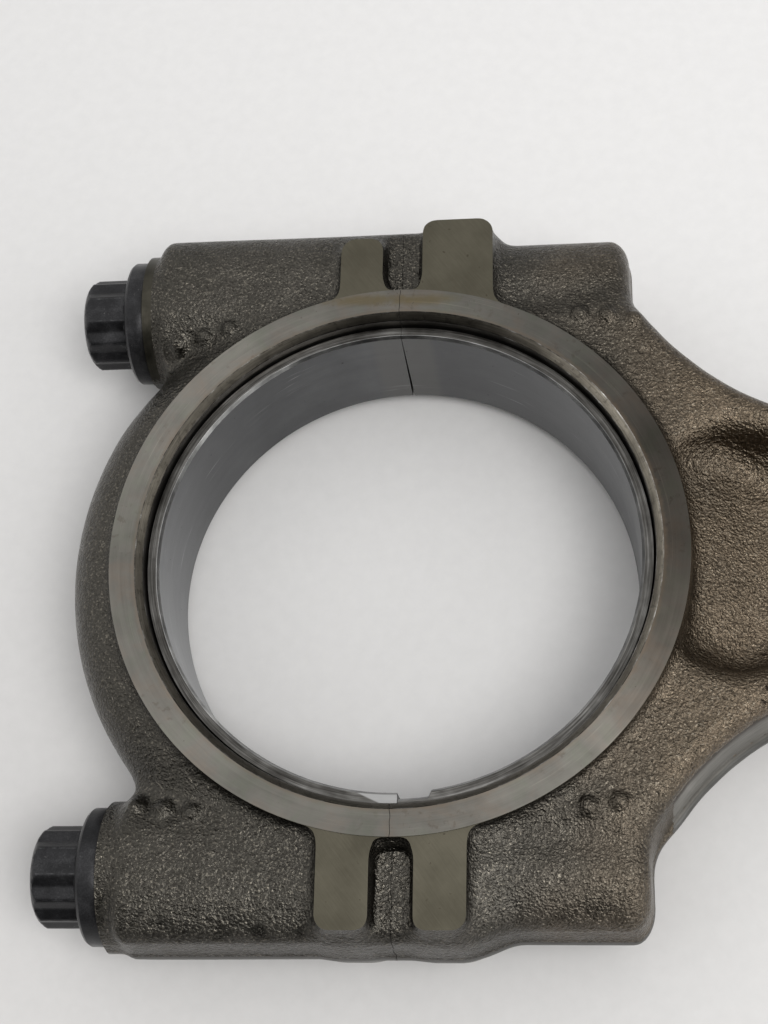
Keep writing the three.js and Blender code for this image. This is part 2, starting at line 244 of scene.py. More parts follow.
def forging(X, Y, Z):
    """The forged body before machining, as a signed distance in millimetres."""
    h = np.abs(Z)
    d2 = polygon_distance(X, Y, OUTLINE) - 0.25 * step01(X, 46, 54)
    # the crown is fully rounded, the shank side keeps a drafted flank and a tight edge
    side = step01(X, 28, 50)
    ring_r = np.sqrt(X * X + Y * Y)
    dip = 1.2 * step01(ring_r, 52.5, 62) * (1 - step01(X, 8, 34)) * step01(np.abs(Y), 26, 40)
    d = slab(d2, Z, BODY_HALF - 0.25 - dip, 10.5 - 7.6 * side, 10.5 - 7.1 * side, 0.13 * step01(X, 15, 50) + 0.0001)
    # bolt bosses: a thick section on the cap that thins to the slimmer rod boss past the pads
    for s in (1, -1):
        YS = Y * s
        cap = capped(boss_section(YS, Z, BOLT_Y, 14.25 + 0.2 * (1 - step01(X, -46, -10)), BODY_HALF - 0.2 - np.minimum(YS - BOLT_Y, 0) ** 2 / 70, 10.2, 5.6, 0.10), X, SEAT_X + 2.1, 27, 3.2)
        cap = smax(cap, X - 20.7 + 0 * cap, 9.0)
        rod = capped(boss_section(YS, Z, BOLT_Y, 11.8, 13.15 - np.minimum(YS - BOLT_Y, 0) ** 2 / 80, 10.6, 6.8, 0.15), X + np.abs(Z) * 0.07 * step01(X, 30, 44), -5, 45.2, 3.8)
        d = smin(d, cap, 4.0)
        d = smin(d, rod, 2.8)
        neck = capped(np.sqrt((YS - BOLT_Y) ** 2 + Z ** 2) - SEAT_R + 0 * X, X, SEAT_X - 3, -40, 0.6)
        d = smin(d, neck, 0.9)
    # I-beam pockets, floor rising towards the ring
    dp = polygon_distance(X, Y, POCKET)
    r = np.sqrt(X * X + Y * Y)
    floor = 3.7 + 3.8 * (1 - step01(r, 53, 70))
    lean = dp - 0.6 + (BODY_HALF - h) * 0.26 + 0.4
    qx, qz = lean + 5.5, (floor - h) + 5.5
    pocket = np.sqrt(np.maximum(qx, 0) ** 2 + np.maximum(qz, 0) ** 2) + np.minimum(np.maximum(qx, qz), 0) - 5.5
    d = smax(d, -pocket, 3.8)
    # hub that the thrust ring is ground on, and the small-end hub
    # what the trimming left of the flash, round the outside at mid-plane
    d = d - (0.16 + 0.78 * step01(X, 44.5, 51)) * (1 - step01(h, 0.9, 2.3))
    d = smin(d, drafted(r - RING_R, Z, HALF_W, 0.09, 1.0), 2.2)
    rs = np.sqrt((X - CENTRES) ** 2 + Y * Y)
    d = smin(d, drafted(rs - EYE_FACE_R, Z, HALF_W, 0.12, 1.0), 3.0)
    # pads beside the crack
    for x0, x1, y0, y1, rr in ((-11.8, -3.3, 30, 65.6, 3.0), (4.1, 18.1, 30, 69.2, 3.0),
                               (-12.7, -3.3, -69.5, -30, 2.6), (3.9, 13.3, -69.5, -30, 2.6)):
        d = smin(d, drafted(plan_box(X, Y, x0, x1, y0, y1, rr), Z, PAD_TOP, 0.10, 1.0), 2.4)
    # slot between the pads, running out over the bosses
    for s in (1, -1):
        slot2 = plan_box(X, Y * s, -3.3, 4.1, 54.5, 95, 3.2)
        qx, qz = slot2 + 0.9 + (PAD_TOP - h) * 0.10, (12.3 - h) + 0.9
        slot = np.sqrt(np.maximum(qx, 0) ** 2 + np.maximum(qz, 0) ** 2) + np.minimum(np.maximum(qx, qz), 0) - 0.9
        d = smax(d, -slot, 0.9)
    # raised pips on the upper face, standing on whatever surface is there
    if np.max(Z) > 4:
        for bx, by in PIPS:
            q = np.sqrt((X - bx) ** 2 + (Y - by) ** 2)
            lift = 1.1 * (1 - step01(q, 0.6, 2.3))
            d = d - np.where(Z > 3, lift, 0.0)
    return d


def surface(field, xs, ys, zs, sdf):
    """Closed quad mesh of field == 0 on a rectilinear grid, pulled onto the true surface."""
    ins = field < 0
    nx, ny, nz = field.shape
    c = ins[:-1, :-1, :-1].astype(np.int8)
    count = np.zeros((nx - 1, ny - 1, nz - 1), np.int8)
    for i in (0, 1):
        for j in (0, 1):
            for k in (0, 1):
                count += ins[i:nx - 1 + i, j:ny - 1 + j, k:nz - 1 + k]
    active = (count > 0) & (count < 8)
    ci, cj, ck = np.nonzero(active)
    index = np.full(active.shape, -1, np.int32)
    index[ci, cj, ck] = np.arange(len(ci))
    total = np.zeros((len(ci), 3)); hits = np.zeros(len(ci))
    corner = [(0, 0, 0), (1, 0, 0), (0, 1, 0), (1, 1, 0), (0, 0, 1), (1, 0, 1), (0, 1, 1), (1, 1, 1)]
    axes = (xs, ys, zs)
    for a in range(8):
        for b in range(a + 1, 8):
            pa, pb = corner[a], corner[b]
            if sum(abs(u - v) for u, v in zip(pa, pb)) != 1:
                continue
            fa = field[ci + pa[0], cj + pa[1], ck + pa[2]]
            fb = field[ci + pb[0], cj + pb[1], ck + pb[2]]
            cross = (fa < 0) != (fb < 0)
            t = np.where(cross, fa / np.where(cross, fa - fb, 1), 0)
            A = np.stack([xs[ci + pa[0]], ys[cj + pa[1]], zs[ck + pa[2]]], 1)
            B = np.stack([xs[ci + pb[0]], ys[cj + pb[1]], zs[ck + pb[2]]], 1)
            P = A + (B - A) * t[:, None]
            total += P * cross[:, None]
            hits += cross
    v = total / hits[:, None]
    quads = []
    for axis in range(3):
        sl0 = [slice(None)] * 3; sl1 = [slice(None)] * 3
        sl0[axis] = slice(0, -1); sl1[axis] = slice(1, None)
        a, b = ins[tuple(sl0)], ins[tuple(sl1)]
        o = [k for k in range(3) if k != axis]
        gi = np.argwhere(a != b)
        ok = (gi[:, o[0]] > 0) & (gi[:, o[1]] > 0) & (gi[:, o[0]] < field.shape[o[0]] - 1) & (gi[:, o[1]] < field.shape[o[1]] - 1)
        gi = gi[ok]
        inside_first = a[gi[:, 0], gi[:, 1], gi[:, 2]]
        cells = []
        for du, dv in ((-1, -1), (0, -1), (0, 0), (-1, 0)):
            g = gi.copy(); g[:, o[0]] += du; g[:, o[1]] += dv
            cells.append(index[g[:, 0], g[:, 1], g[:, 2]])
        q = np.stack(cells, 1)
        flip = inside_first if axis != 1 else ~inside_first
        q = np.where(flip[:, None], q, q[:, ::-1])
        quads.append(q)
    quads = np.vstack(quads)
    # pull onto the surface
    for _ in range(2):
        x, y, z = v[:, 0], v[:, 1], v[:, 2]
        e = 0.05
        f = sdf(x, y, z)
        g = np.stack([sdf(x + e, y, z) - f, sdf(x, y + e, z) - f, sdf(x, y, z + e) - f], 1) / e
        step = f[:, None] * g / np.maximum((g * g).sum(1), 0.25)[:, None]
        n = np.linalg.norm(step, axis=1)
        step *= np.minimum(1, 0.5 / np.maximum(n, 1e-9))[:, None]
        v = v - step
    return v, quads


def grid_axis(spans):
    out = [spans[0][0]]
    for a, b, h in spans:
        n = max(1, int(round((b - a) / h)))
        out.extend((a + (b - a) * (np.arange(1, n + 1) / n)).tolist())
    return np.array(out)


# ---------------------------------------------------------------------------
# Solid tools
# ---------------------------------------------------------------------------
def box_mesh(x0, x1, y0, y1, z0, z1):
    v = [(x, y, z) for x in (x0, x1) for y in (y0, y1) for z in (z0, z1)]
    f = [(0, 1, 3, 2), (4, 6, 7, 5), (0, 4, 5, 1), (2, 3, 7, 6), (0, 2, 6, 4), (1, 5, 7, 3)]
    return v, f


def revolve_z(profile, seg, cx=0.0, cy=0.0):
    """Closed (r, z) profile, counter-clockwise, turned about a line parallel to Z."""
    n = len(profile)
    v, f = [], []
    for j in range(seg):
        a = 2 * math.pi * j / seg
        for r, z in profile:
            v.append((cx + r * math.cos(a), cy + r * math.sin(a), z))
    for j in range(seg):
        k = (j + 1) % seg
        for i in range(n):
            m = (i + 1) % n
            f.append((j * n + i, k * n + i, k * n + m, j * n + m))
    return v, f


def spindle_z(profile, seg, cx=0.0, cy=0.0):
    """(r, z) profile from low z to high z turned about a line parallel to Z, ends closed."""
    v, f = [], []
    for r, z in profile:
        for j in range(seg):
            a = 2 * math.pi * j / seg
            v.append((cx + r * math.cos(a), cy + r * math.sin(a), z))
    n = len(profile)
    for i in range(n - 1):
        for j in range(seg):
            k = (j + 1) % seg
            f.append((i * seg + j, i * seg + k, (i + 1) * seg + k, (i + 1) * seg + j))
    f.append(tuple(range(seg))[::-1])
    f.append(tuple(range((n - 1) * seg, n * seg)))
    return v, f


def spindle_x(profile, seg, y0, z0=0.0, rfun=None):
    """(x, r) profile from low x to high x turned about a line parallel to X, ends closed.
    rfun(x, r, angle) may change the radius with the angle."""
    v, f = [], []
    for x, r in profile:
        for j in range(seg):
            a = 2 * math.pi * j / seg
            rr = rfun(x, r, a) if rfun else r
            v.append((x, y0 + rr * math.cos(a), z0 + rr * math.sin(a)))
    n = len(profile)
    for i in range(n - 1):
        for j in range(seg):
            k = (j + 1) % seg
            f.append((i * seg + j, i * seg + k, (i + 1) * seg + k, (i + 1) * seg + j))
    v.append((profile[0][0], y0, z0)); v.append((profile[-1][0], y0, z0))
    c0, c1 = len(v) - 2, len(v) - 1
    for j in range(seg):
        k = (j + 1) % seg
        f.append((c0, k, j))
        f.append((c1, (n - 1) * seg + j, (n - 1) * seg + k))
    return v, f


def boolean(ob, verts, faces, op="DIFFERENCE"):
    cutter = new_object("cutter", verts, faces, smooth=False)
    mod = ob.modifiers.new("cut", "BOOLEAN")
    mod.operation = op
    mod.solver = "MANIFOLD"
    mod.object = cutter
    dg = bpy.context.evaluated_depsgraph_get()
    me = bpy.data.meshes.new_from_object(ob.evaluated_get(dg))
    ob.modifiers.clear()
    old = ob.data
    ob.data = me
    me.name = ob.name
    bpy.data.meshes.remove(old)
    cm = cutter.data
    bpy.data.objects.remove(cutter)
    bpy.data.meshes.remove(cm)
    if len(me.polygons) < 4:
        raise RuntimeError(f"boolean on {ob.name} left nothing")


def copy_object(ob, name):
    new = bpy.data.objects.new(name, ob.data.copy())
    new.data.name = name
    bpy.context.scene.collection.objects.link(new)
    return new


def crack_offset(Y, Z):
    """How far the broken surface strays from the split plane, in mm."""
    s = 0.07 * np.sin(Y * 0.83 + 1.1 * np.sin(Z * 0.41)) + 0.06 * np.sin(Z * 1.13 + 0.8 * np.sin(Y * 0.63))
    s += 0.06 * np.sin(Y * 2.31 + Z * 1.37) + 0.045 * np.sin(Y * 3.9 - Z * 2.9 + 1.3 * np.sin(Y * 1.7))
    return s


def crack_cutter(side, gap):
    """Block on one side (+1 or -1) of the broken surface, held gap away from it."""
    ys = np.concatenate([np.arange(-84, -39.9, 0.55), [0.0], np.arange(40, 84.2, 0.55)])
    zs = np.arange(-20.35, 20.4, 0.55)
    ny, nz = len(ys), len(zs)
    Y, Z = np.meshgrid(ys, zs, indexing="ij")
    X = crack_offset(Y, Z) + side * gap
    front = np.stack([X, Y, Z], -1).reshape(-1, 3)
    back = np.stack([np.full_like(Y, 330.0 * side), Y, Z], -1).reshape(-1, 3)
    v = np.vstack([front, back])
    off = ny * nz
    f = []

    def at(i, j):
        return i * nz + j
    for i in range(ny - 1):
        for j in range(nz - 1):
            a, b, c, d = at(i, j), at(i + 1, j), at(i + 1, j + 1), at(i, j + 1)
            f.append((a, d, c, b)); f.append((a + off, b + off, c + off, d + off))
    for i in range(ny - 1):
        a, b = at(i, 0), at(i + 1, 0)
        f.append((a, b, b + off, a + off))
        a, b = at(i, nz - 1), at(i + 1, nz - 1)
        f.append((a, a + off, b + off, b))
    for j in range(nz - 1):
        a, b = at(0, j), at(0, j + 1)
        f.append((a, a + off, b + off, b))
        a, b = at(ny - 1, j), at(ny - 1, j + 1)
        f.append((a, b, b + off, a + off))
    if side < 0:
        f = [tuple(reversed(q)) for q in f]
    return v, f


def face_data(ob):
    me = ob.data
    n = len(me.polygons)
    c = np.zeros(n * 3, np.float32); me.polygons.foreach_get("center", c)
    m = np.zeros(n * 3, np.float32); me.polygons.foreach_get("normal", m)
    c = (c.reshape(-1, 3) - np.array(BORE)) / MM
    return c, m.reshape(-1, 3)


def paint(ob, materials, index):
    ob.data.materials.clear()
    for m in materials:
        ob.data.materials.append(m)
    ob.data.polygons.foreach_set("material_index", np.asarray(index, np.int32))
    ob.data.update()


def finish_mesh(ob, degrees=32.0):
    me = ob.data
    me.polygons.foreach_set("use_smooth", np.ones(len(me.polygons), bool))
    me.set_sharp_from_angle(angle=math.radians(degrees))
    me.update()


# ---------------------------------------------------------------------------
# Materials. Everything is worked out from the piece's own place in millimetres
# from the big-end bore, so the grain has its true size.
# ---------------------------------------------------------------------------
class Nodes:
    def __init__(self, name):
        self.mat = bpy.data.materials.new(name)
        self.mat.use_nodes = True
        self.nt = self.mat.node_tree
        self.nt.nodes.clear()
        self.out = self.nt.nodes.new("ShaderNodeOutputMaterial")
        self.b = self.nt.nodes.new("ShaderNodeBsdfPrincipled")
        self.link(self.b.outputs["BSDF"], self.out.inputs["Surface"])
        tc = self.nt.nodes.new("ShaderNodeTexCoord")
        sub = self.vmath("SUBTRACT", tc.outputs["Object"], tuple(BORE))
        self.P = self.vmath("SCALE", sub, scale=1000.0)
        sep = self.nt.nodes.new("ShaderNodeSeparateXYZ")
        self.link(self.P, sep.inputs[0])
        self.X, self.Y, self.Z = sep.outputs

    def link(self, a, b):
        self.nt.links.new(a, b)

    def feed(self, sock, val):
        if isinstance(val, bpy.types.NodeSocket):
            self.link(val, sock)
        elif val is not None:
            sock.default_value = val

    def vmath(self, op, a, b=None, scale=None):
        n = self.nt.nodes.new("ShaderNodeVectorMath"); n.operation = op
        self.feed(n.inputs[0], a)
        if b is not None:
            self.feed(n.inputs[1], b)
        if scale is not None:
            self.feed(n.inputs["Scale"], scale)
        return n.outputs["Value"] if op in ("LENGTH", "DISTANCE", "DOT_PRODUCT") else n.outputs["Vector"]

    def math(self, op, a, b=None, c=None, clamp=False):
        n = self.nt.nodes.new("ShaderNodeMath"); n.operation = op; n.use_clamp = clamp
        self.feed(n.inputs[0], a)
        if b is not None:
            self.feed(n.inputs[1], b)
        if c is not None:
            self.feed(n.inputs[2], c)
        return n.outputs[0]

    def noise(self, scale, detail=3.0, rough=0.55, distort=0.0, vector=None, dims="3D", w=None):
        n = self.nt.nodes.new("ShaderNodeTexNoise"); n.noise_dimensions = dims
        if dims != "1D":
            self.feed(n.inputs["Vector"], vector if vector is not None else self.P)
        if w is not None:
            self.feed(n.inputs["W"], w)
        n.inputs["Scale"].default_value = scale
        n.inputs["Detail"].default_value = detail
        n.inputs["Roughness"].default_value = rough
        n.inputs["Distortion"].default_value = distort
        return n.outputs["Fac"]

    def voronoi(self, scale, feature="SMOOTH_F1", vector=None, rand=1.0):
        n = self.nt.nodes.new("ShaderNodeTexVoronoi"); n.feature = feature
        self.feed(n.inputs["Vector"], vector if vector is not None else self.P)
        n.inputs["Scale"].default_value = scale
        n.inputs["Randomness"].default_value = rand
        return n.outputs["Distance"]

    def stretch(self, sx, sy, sz, vector=None):
        return self.vmath("MULTIPLY", vector if vector is not None else self.P, (sx, sy, sz))

    def combine(self, x, y, z):
        n = self.nt.nodes.new("ShaderNodeCombineXYZ")
        for s, v in zip(n.inputs, (x, y, z)):
            self.feed(s, v)
        return n.outputs[0]

    def ramp(self, fac, stops, interp="LINEAR"):
        n = self.nt.nodes.new("ShaderNodeValToRGB")
        n.color_ramp.interpolation = interp
        el = n.color_ramp.elements
        while len(el) > 1:
            el.remove(el[-1])
        for i, (p, c) in enumerate(stops):
            e = el[0] if i == 0 else el.new(p)
            e.position = p
            e.color = (*c, 1) if isinstance(c, tuple) else (c, c, c, 1)
        self.feed(n.inputs[0], fac)
        return n.outputs["Color"]

    def span(self, v, a, b, lo=0.0, hi=1.0, smooth=True):
        n = self.nt.nodes.new("ShaderNodeMapRange")
        n.interpolation_type = "SMOOTHSTEP" if smooth else "LINEAR"
        n.clamp = True if not smooth else n.clamp
        for s, x in zip(("Value", "From Min", "From Max", "To Min", "To Max"), (v, a, b, lo, hi)):
            self.feed(n.inputs[s], x)
        return n.outputs["Result"]

    def mix(self, fac, a, b, mode="MIX"):
        n = self.nt.nodes.new("ShaderNodeMix"); n.data_type = "RGBA"; n.blend_type = mode
        self.feed(n.inputs[0], fac)
        for s, v in ((n.inputs[6], a), (n.inputs[7], b)):
            self.feed(s, (*v, 1) if isinstance(v, tuple) and len(v) == 3 else v)
        return n.outputs[2]

    def bump(self, height, distance_mm, strength=1.0, normal=None):
        n = self.nt.nodes.new("ShaderNodeBump")
        n.inputs["Strength"].default_value = strength
        n.inputs["Distance"].default_value = distance_mm * MM
        self.feed(n.inputs["Height"], height)
        if normal is not None:
            self.link(normal, n.inputs["Normal"])
        return n.outputs["Normal"]

    def radius(self, cx=0.0, cy=0.0):
        dx = self.math("SUBTRACT", self.X, cx)
        dy = self.math("SUBTRACT", self.Y, cy)
        return self.math("SQRT", self.math("ADD", self.math("MULTIPLY", dx, dx), self.math("MULTIPLY", dy, dy)))

    def done(self, color, rough, metal=1.0, normal=None, ior=1.5, coat=0.0, coat_rough=0.2):
        self.feed(self.b.inputs["Base Color"], (*color, 1) if isinstance(color, tuple) else color)
        self.feed(self.b.inputs["Roughness"], rough)
        self.feed(self.b.inputs["Metallic"], metal)
        self.b.inputs["IOR"].default_value = ior
        self.b.inputs["Coat Weight"].default_value = coat
        self.b.inputs["Coat Roughness"].default_value = coat_rough
        if normal is not None:
            self.link(normal, self.b.inputs["Normal"])
        return self.mat


def forged_skin():
    m = Nodes("forged_skin")
    big = m.noise(0.040, 3, 0.5)
    mid = m.noise(0.30, 4, 0.6)
    peel = m.noise(1.15, 2, 0.45, 0.4)
    grain = m.noise(2.3, 2, 0.55, 0.3)
    tone = m.math("ADD", m.math("MULTIPLY", big, 0.50), m.math("MULTIPLY", mid, 0.35))
    tone = m.math("ADD", tone, m.math("MULTIPLY", peel, 0.15))
    base = m.ramp(tone, [(0.34, (0.050, 0.047, 0.041)), (0.50, (0.066, 0.062, 0.054)), (0.66, (0.086, 0.080, 0.070))])
    # warmer scale toward the shank, and painted light: brighter toward the shank as if better lit
    shank_tint_and_painted_light = m.span(m.math("ADD", m.X, m.math("MULTIPLY", big, 50.0)), 48.0, 90.0)
    base = m.mix(shank_tint_and_painted_light, base, m.mix(1.0, base, (2.02, 1.71, 1.42), "MULTIPLY"))
    # high spots the blast has polished, low spots it has not reached
    spark = m.span(grain, 0.56, 0.68)
    base = m.mix(m.math("MULTIPLY", spark, 0.30), base, (0.36, 0.325, 0.265))
    base = m.mix(m.span(grain, 0.46, 0.34, 0.0, 0.45), base, (0.026, 0.023, 0.019))
    # pits of old rust near the edge of the neck
    px = m.math("SUBTRACT", m.X, 69.0)
    py = m.math("SUBTRACT", m.Y, -28.2)
    pd = m.math("ADD", m.math("MULTIPLY", m.math("MULTIPLY", px, px), 0.020), m.math("MULTIPLY", m.math("MULTIPLY", py, py), 0.16))
    pit = m.math("MULTIPLY", m.span(m.noise(0.75, 2, 0.6), 0.56, 0.63), m.span(pd, 1.3, 0.3))
    pit = m.math("MULTIPLY", pit, m.span(m.Z, 6.0, 9.0))
    base = m.mix(pit, base, (0.014, 0.010, 0.009))
    rough = m.ramp(mid, [(0.3, 0.25), (0.5, 0.30), (0.7, 0.37)])
    relief = m.math("ADD", m.span(m.X, -10.0, 60.0, 0.40, 0.62), m.span(mid, 0.38, 0.62, 0.10, 0.42))
    h = m.math("SUBTRACT", m.math("MULTIPLY", peel, 1.0), m.math("MULTIPLY", pit, 1.2))
    n1 = m.bump(m.math("MULTIPLY", h, relief), 0.34, 1.0)
    n2 = m.bump(m.math("MULTIPLY", grain, relief), 0.36, 1.0, n1)
    return m.done(base, rough, 1.0, n2)


def sheared_flank():
    m = Nodes("sheared_flank")
    streak = m.noise(0.9, 3, 0.6, 0.0, m.combine(m.math("MULTIPLY", m.X, 0.22), m.math("MULTIPLY", m.Y, 0.22), m.math("MULTIPLY", m.Z, 2.0)))
    cloud = m.noise(0.12, 3, 0.6)
    base = m.ramp(m.math("ADD", m.math("MULTIPLY", streak, 0.5), m.math("MULTIPLY", cloud, 0.5)),
                  [(0.34, (0.165, 0.159, 0.145)), (0.5, (0.225, 0.218, 0.200)), (0.66, (0.290, 0.281, 0.262))])
    # the trimmed land at mid-plane is barer
    h = m.math("ABSOLUTE", m.Z)
    land = m.span(h, 1.75, 1.55)
    base = m.mix(land, base, m.mix(1.0, base, (0.55, 0.56, 0.58), "MULTIPLY"))
    line = m.math("ABSOLUTE", m.math("SUBTRACT", h, 1.85))
    base = m.mix(m.span(line, 0.50, 0.15, 0.0, 0.45), base, (0.030, 0.027, 0.023))
    # scale closes over it again where the shank runs into the eye
    end = m.math("ADD", m.X, m.math("MULTIPLY", m.math("SUBTRACT", m.noise(0.12, 3, 0.6), 0.5), 40.0))
    base = m.mix(m.span(end, 196.0, 222.0), base, (0.110, 0.092, 0.068))
    # darker as it runs up to the forged edge
    up = m.math("ADD", h, m.math("MULTIPLY", m.noise(0.5, 3), 1.6))
    base = m.mix(m.span(up, 9.0, 11.0), base, (0.060, 0.050, 0.040))
    return m.done(base, m.span(cloud, 0.3, 0.7, 0.44, 0.54), 1.0, m.bump(streak, 0.05))


def ground_face(name, centre_x, tint, line=1.0, stains_and_painted_light=True):
    m = Nodes(name)
    r = m.radius(centre_x, 0.0)
    ang = m.math("ARCTAN2", m.Y, m.math("SUBTRACT", m.X, centre_x))
    # turning marks: many fine rings, broken up round the circle
    swirl = m.combine(m.math("MULTIPLY", r, 1.0), m.math("MULTIPLY", ang, 0.8), m.math("MULTIPLY", m.Z, 0.02))
    lines = m.noise(6.0, 3, 0.7, 0.0, swirl)
    wide = m.noise(1.3, 2, 0.6, 0.0, swirl)
    cloud = m.noise(0.09, 4, 0.6)
    tone = m.math("ADD", m.math("MULTIPLY", cloud, 0.6), m.math("ADD", m.math("MULTIPLY", wide, 0.25), m.math("MULTIPLY", lines, 0.15)))
    dark = tuple(c * 0.80 for c in tint)
    light = tuple(min(1, c * 1.16) for c in tint)
    base = m.ramp(tone, [(0.36, dark), (0.5, tint), (0.64, light)])
    hue = m.noise(0.13, 4, 0.65, 0.4)
    base = m.mix(1.0, base, m.ramp(hue, [(0.36, (1.04, 0.975, 0.94)), (0.5, (1.0, 1.0, 1.0)), (0.64, (0.96, 1.01, 0.96))]), "MULTIPLY")
    smudge = m.math("MULTIPLY", m.span(m.noise(0.55, 4, 0.7), 0.56, 0.66), m.span(m.noise(0.07, 2), 0.44, 0.60))
    base = m.mix(m.math("MULTIPLY", smudge, 0.40), base, m.mix(1.0, base, (0.55, 0.47, 0.42), "MULTIPLY"))
    if stains_and_painted_light:
        # wear round the circle, with painted light and shade: brown on the shank side, painted brighter toward the
        # lower right and darker on the right
        a1 = m.math("DIVIDE", m.math("ADD", ang, math.pi), 2 * math.pi)
        a1 = m.math("ADD", a1, m.math("MULTIPLY", m.math("SUBTRACT", m.noise(0.08, 2), 0.5), 0.04))
        wear = m.ramp(a1, [(0.0, 0.455), (0.125, 0.53), (0.25, 0.41), (0.32, 0.52), (0.375, 0.66), (0.42, 0.42), (0.46, 0.23),
                           (0.50, 0.15), (0.56, 0.14), (0.62, 0.22), (0.70, 0.38), (0.78, 0.43), (0.84, 0.60), (0.92, 0.62), (1.0, 0.455)])
        base = m.mix(1.0, base, m.mix(0.0, m.vmath("SCALE", wear, scale=2.0), (1, 1, 1)), "MULTIPLY")
        brown = m.span(m.X, 30.0, 50.0, 0.0, 0.35)
        base = m.mix(brown, base, m.mix(1.0, base, (1.15, 0.98, 0.86), "MULTIPLY"))
        # old oil by the joint at the top, either side of the crack
        for sx, sy, k in ((-7.0, 51.6, 0.018), (4.2, 51.2, 0.030)):
            dx = m.math("SUBTRACT", m.X, sx)
            dy = m.math("SUBTRACT", m.Y, sy)
            dd = m.math("SQRT", m.math("ADD", m.math("MULTIPLY", m.math("MULTIPLY", dx, dx), k), m.math("MULTIPLY", m.math("MULTIPLY", dy, dy), 0.9)))
            dd = m.math("ADD", dd, m.math("MULTIPLY", m.noise(0.45, 4, 0.65), 1.6))
            base = m.mix(m.span(dd, 2.5, 1.0, 0.0, 0.60), base, (0.120, 0.093, 0.042))
        specks = m.span(m.noise(0.9, 2, 0.5), 0.735, 0.775)
        base = m.mix(m.math("MULTIPLY", specks, 0.55), base, (0.06, 0.048, 0.036))
    # rust-brown tinge toward the inner edge
    edge = m.span(m.math("ADD", r, m.math("MULTIPLY", m.noise(0.6, 3, 0.6), 1.2)), 50.4, 49.3, 0.0, 0.35 if stains_and_painted_light else 0.0)
    base = m.mix(edge, base, (0.17, 0.125, 0.085))
    rough = m.span(cloud, 0.35, 0.65, 0.34, 0.44)
    scratch = m.noise(1.1, 3, 0.7, 0.0, m.combine(m.math("MULTIPLY", r, 2.2), m.math("MULTIPLY", ang, 2.2), 3.0))
    base = m.mix(m.span(scratch, 0.62, 0.70, 0.0, 0.30), base, m.mix(1.0, base, (1.7, 1.68, 1.62), "MULTIPLY"))
    n = m.bump(lines, 0.012 * line, 1.0)
    n = m.bump(wide, 0.010 * line, 1.0, n)
    return m.done(base, rough, 1.0, n)


def pad_face():
    m = Nodes("pad_face")
    # straight milling marks, a little on the skew
    u = m.math("ADD", m.math("MULTIPLY", m.X, 0.80), m.math("MULTIPLY", m.Y, 0.60))
    lay = m.combine(m.math("MULTIPLY", u, 1.0), m.math("MULTIPLY", m.Y, 0.05), 0.0)
    lines = m.noise(4.5, 3, 0.65, 0.0, lay)
    cloud = m.noise(0.10, 4, 0.6)
    tone = m.math("ADD", m.math("MULTIPLY", cloud, 0.7), m.math("MULTIPLY", lines, 0.3))
    base = m.ramp(tone, [(0.36, (0.082, 0.075, 0.056)), (0.5, (0.101, 0.093, 0.070)), (0.66, (0.123, 0.113, 0.086))])
    specks = m.span(m.noise(0.8, 2, 0.5), 0.70, 0.75)
    base = m.mix(m.math("MULTIPLY", specks, 0.6), base, (0.05, 0.042, 0.030))
    n = m.bump(lines, 0.010, 1.0)
    return m.done(base, m.span(cloud, 0.3, 0.7, 0.38, 0.48), 1.0, n)


def bore_wear_and_painted_light(m, ang):
    """How bare the bore edge is round the circle, with painted light mixed in: oily and dark at the top, bare on the
    cap's crown, painted brightest on the shank side.
    """
    a1 = m.math("DIVIDE", m.math("ADD", ang, math.pi), 2 * math.pi)
    a1 = m.math("ADD", a1, m.math("MULTIPLY", m.math("SUBTRACT", m.noise(0.10, 2), 0.5), 0.03))
    return m.ramp(a1, [(0.0, 0.50), (0.05, 0.44), (0.14, 0.30), (0.30, 0.30), (0.40, 0.60), (0.46, 0.85), (0.60, 0.85), (0.65, 0.60), (0.70, 0.20),
                       (0.78, 0.13), (0.88, 0.13), (0.93, 0.22), (0.965, 0.42), (1.0, 0.50)])


def oiled_bore(name, tint, rough=0.34, spots=0.5, wear=False):
    """Bored steel with baked oil: chamfer and housing wall. With wear set, painted light round the circle as well."""
    m = Nodes(name)
    ang = m.math("ARCTAN2", m.Y, m.X)
    swirl = m.combine(m.math("MULTIPLY", m.Z, 1.0), m.math("MULTIPLY", ang, 1.5), m.math("MULTIPLY", m.radius(), 1.0))
    lines = m.noise(4.0, 3, 0.6, 0.0, swirl)
    blot = m.noise(0.16, 4, 0.65)
    pits = m.span(m.noise(0.75, 3, 0.6), 0.56, 0.64)
    base = m.ramp(m.math("ADD", m.math("MULTIPLY", blot, 0.5), m.math("MULTIPLY", lines, 0.5)),
                  [(0.36, tuple(c * 0.60 for c in tint)), (0.5, tint), (0.64, tuple(min(1, c * 1.5) for c in tint))])
    base = m.mix(m.math("MULTIPLY", pits, spots), base, (0.012, 0.010, 0.008))
    # oil, wear and painted light round the circle
    if wear:
        base = m.mix(1.0, base, m.vmath("SCALE", bore_wear_and_painted_light(m, ang), scale=2.0), "MULTIPLY")
    return m.done(base, rough, 1.0, m.bump(lines, 0.008, 1.0))


def bright_edge():
    m = Nodes("edge_wear_and_painted_light")
    wear = m.noise(0.25, 4, 0.7)
    base = m.ramp(wear, [(0.40, (0.06, 0.054, 0.045)), (0.54, (0.16, 0.15, 0.135)), (0.70, (0.42, 0.41, 0.39))])
    # painted light round the circle on top of the rubbed edge
    base = m.mix(1.0, base, m.vmath("SCALE", bore_wear_and_painted_light(m, m.math("ARCTAN2", m.Y, m.X)), scale=2.2), "MULTIPLY")
    base = m.mix(m.span(m.X, 150.0, 151.0, 0.0, 0.85), base, (0.115, 0.108, 0.096))
    return m.done(base, 0.34, 1.0, m.bump(m.noise(2.0, 2), 0.01))


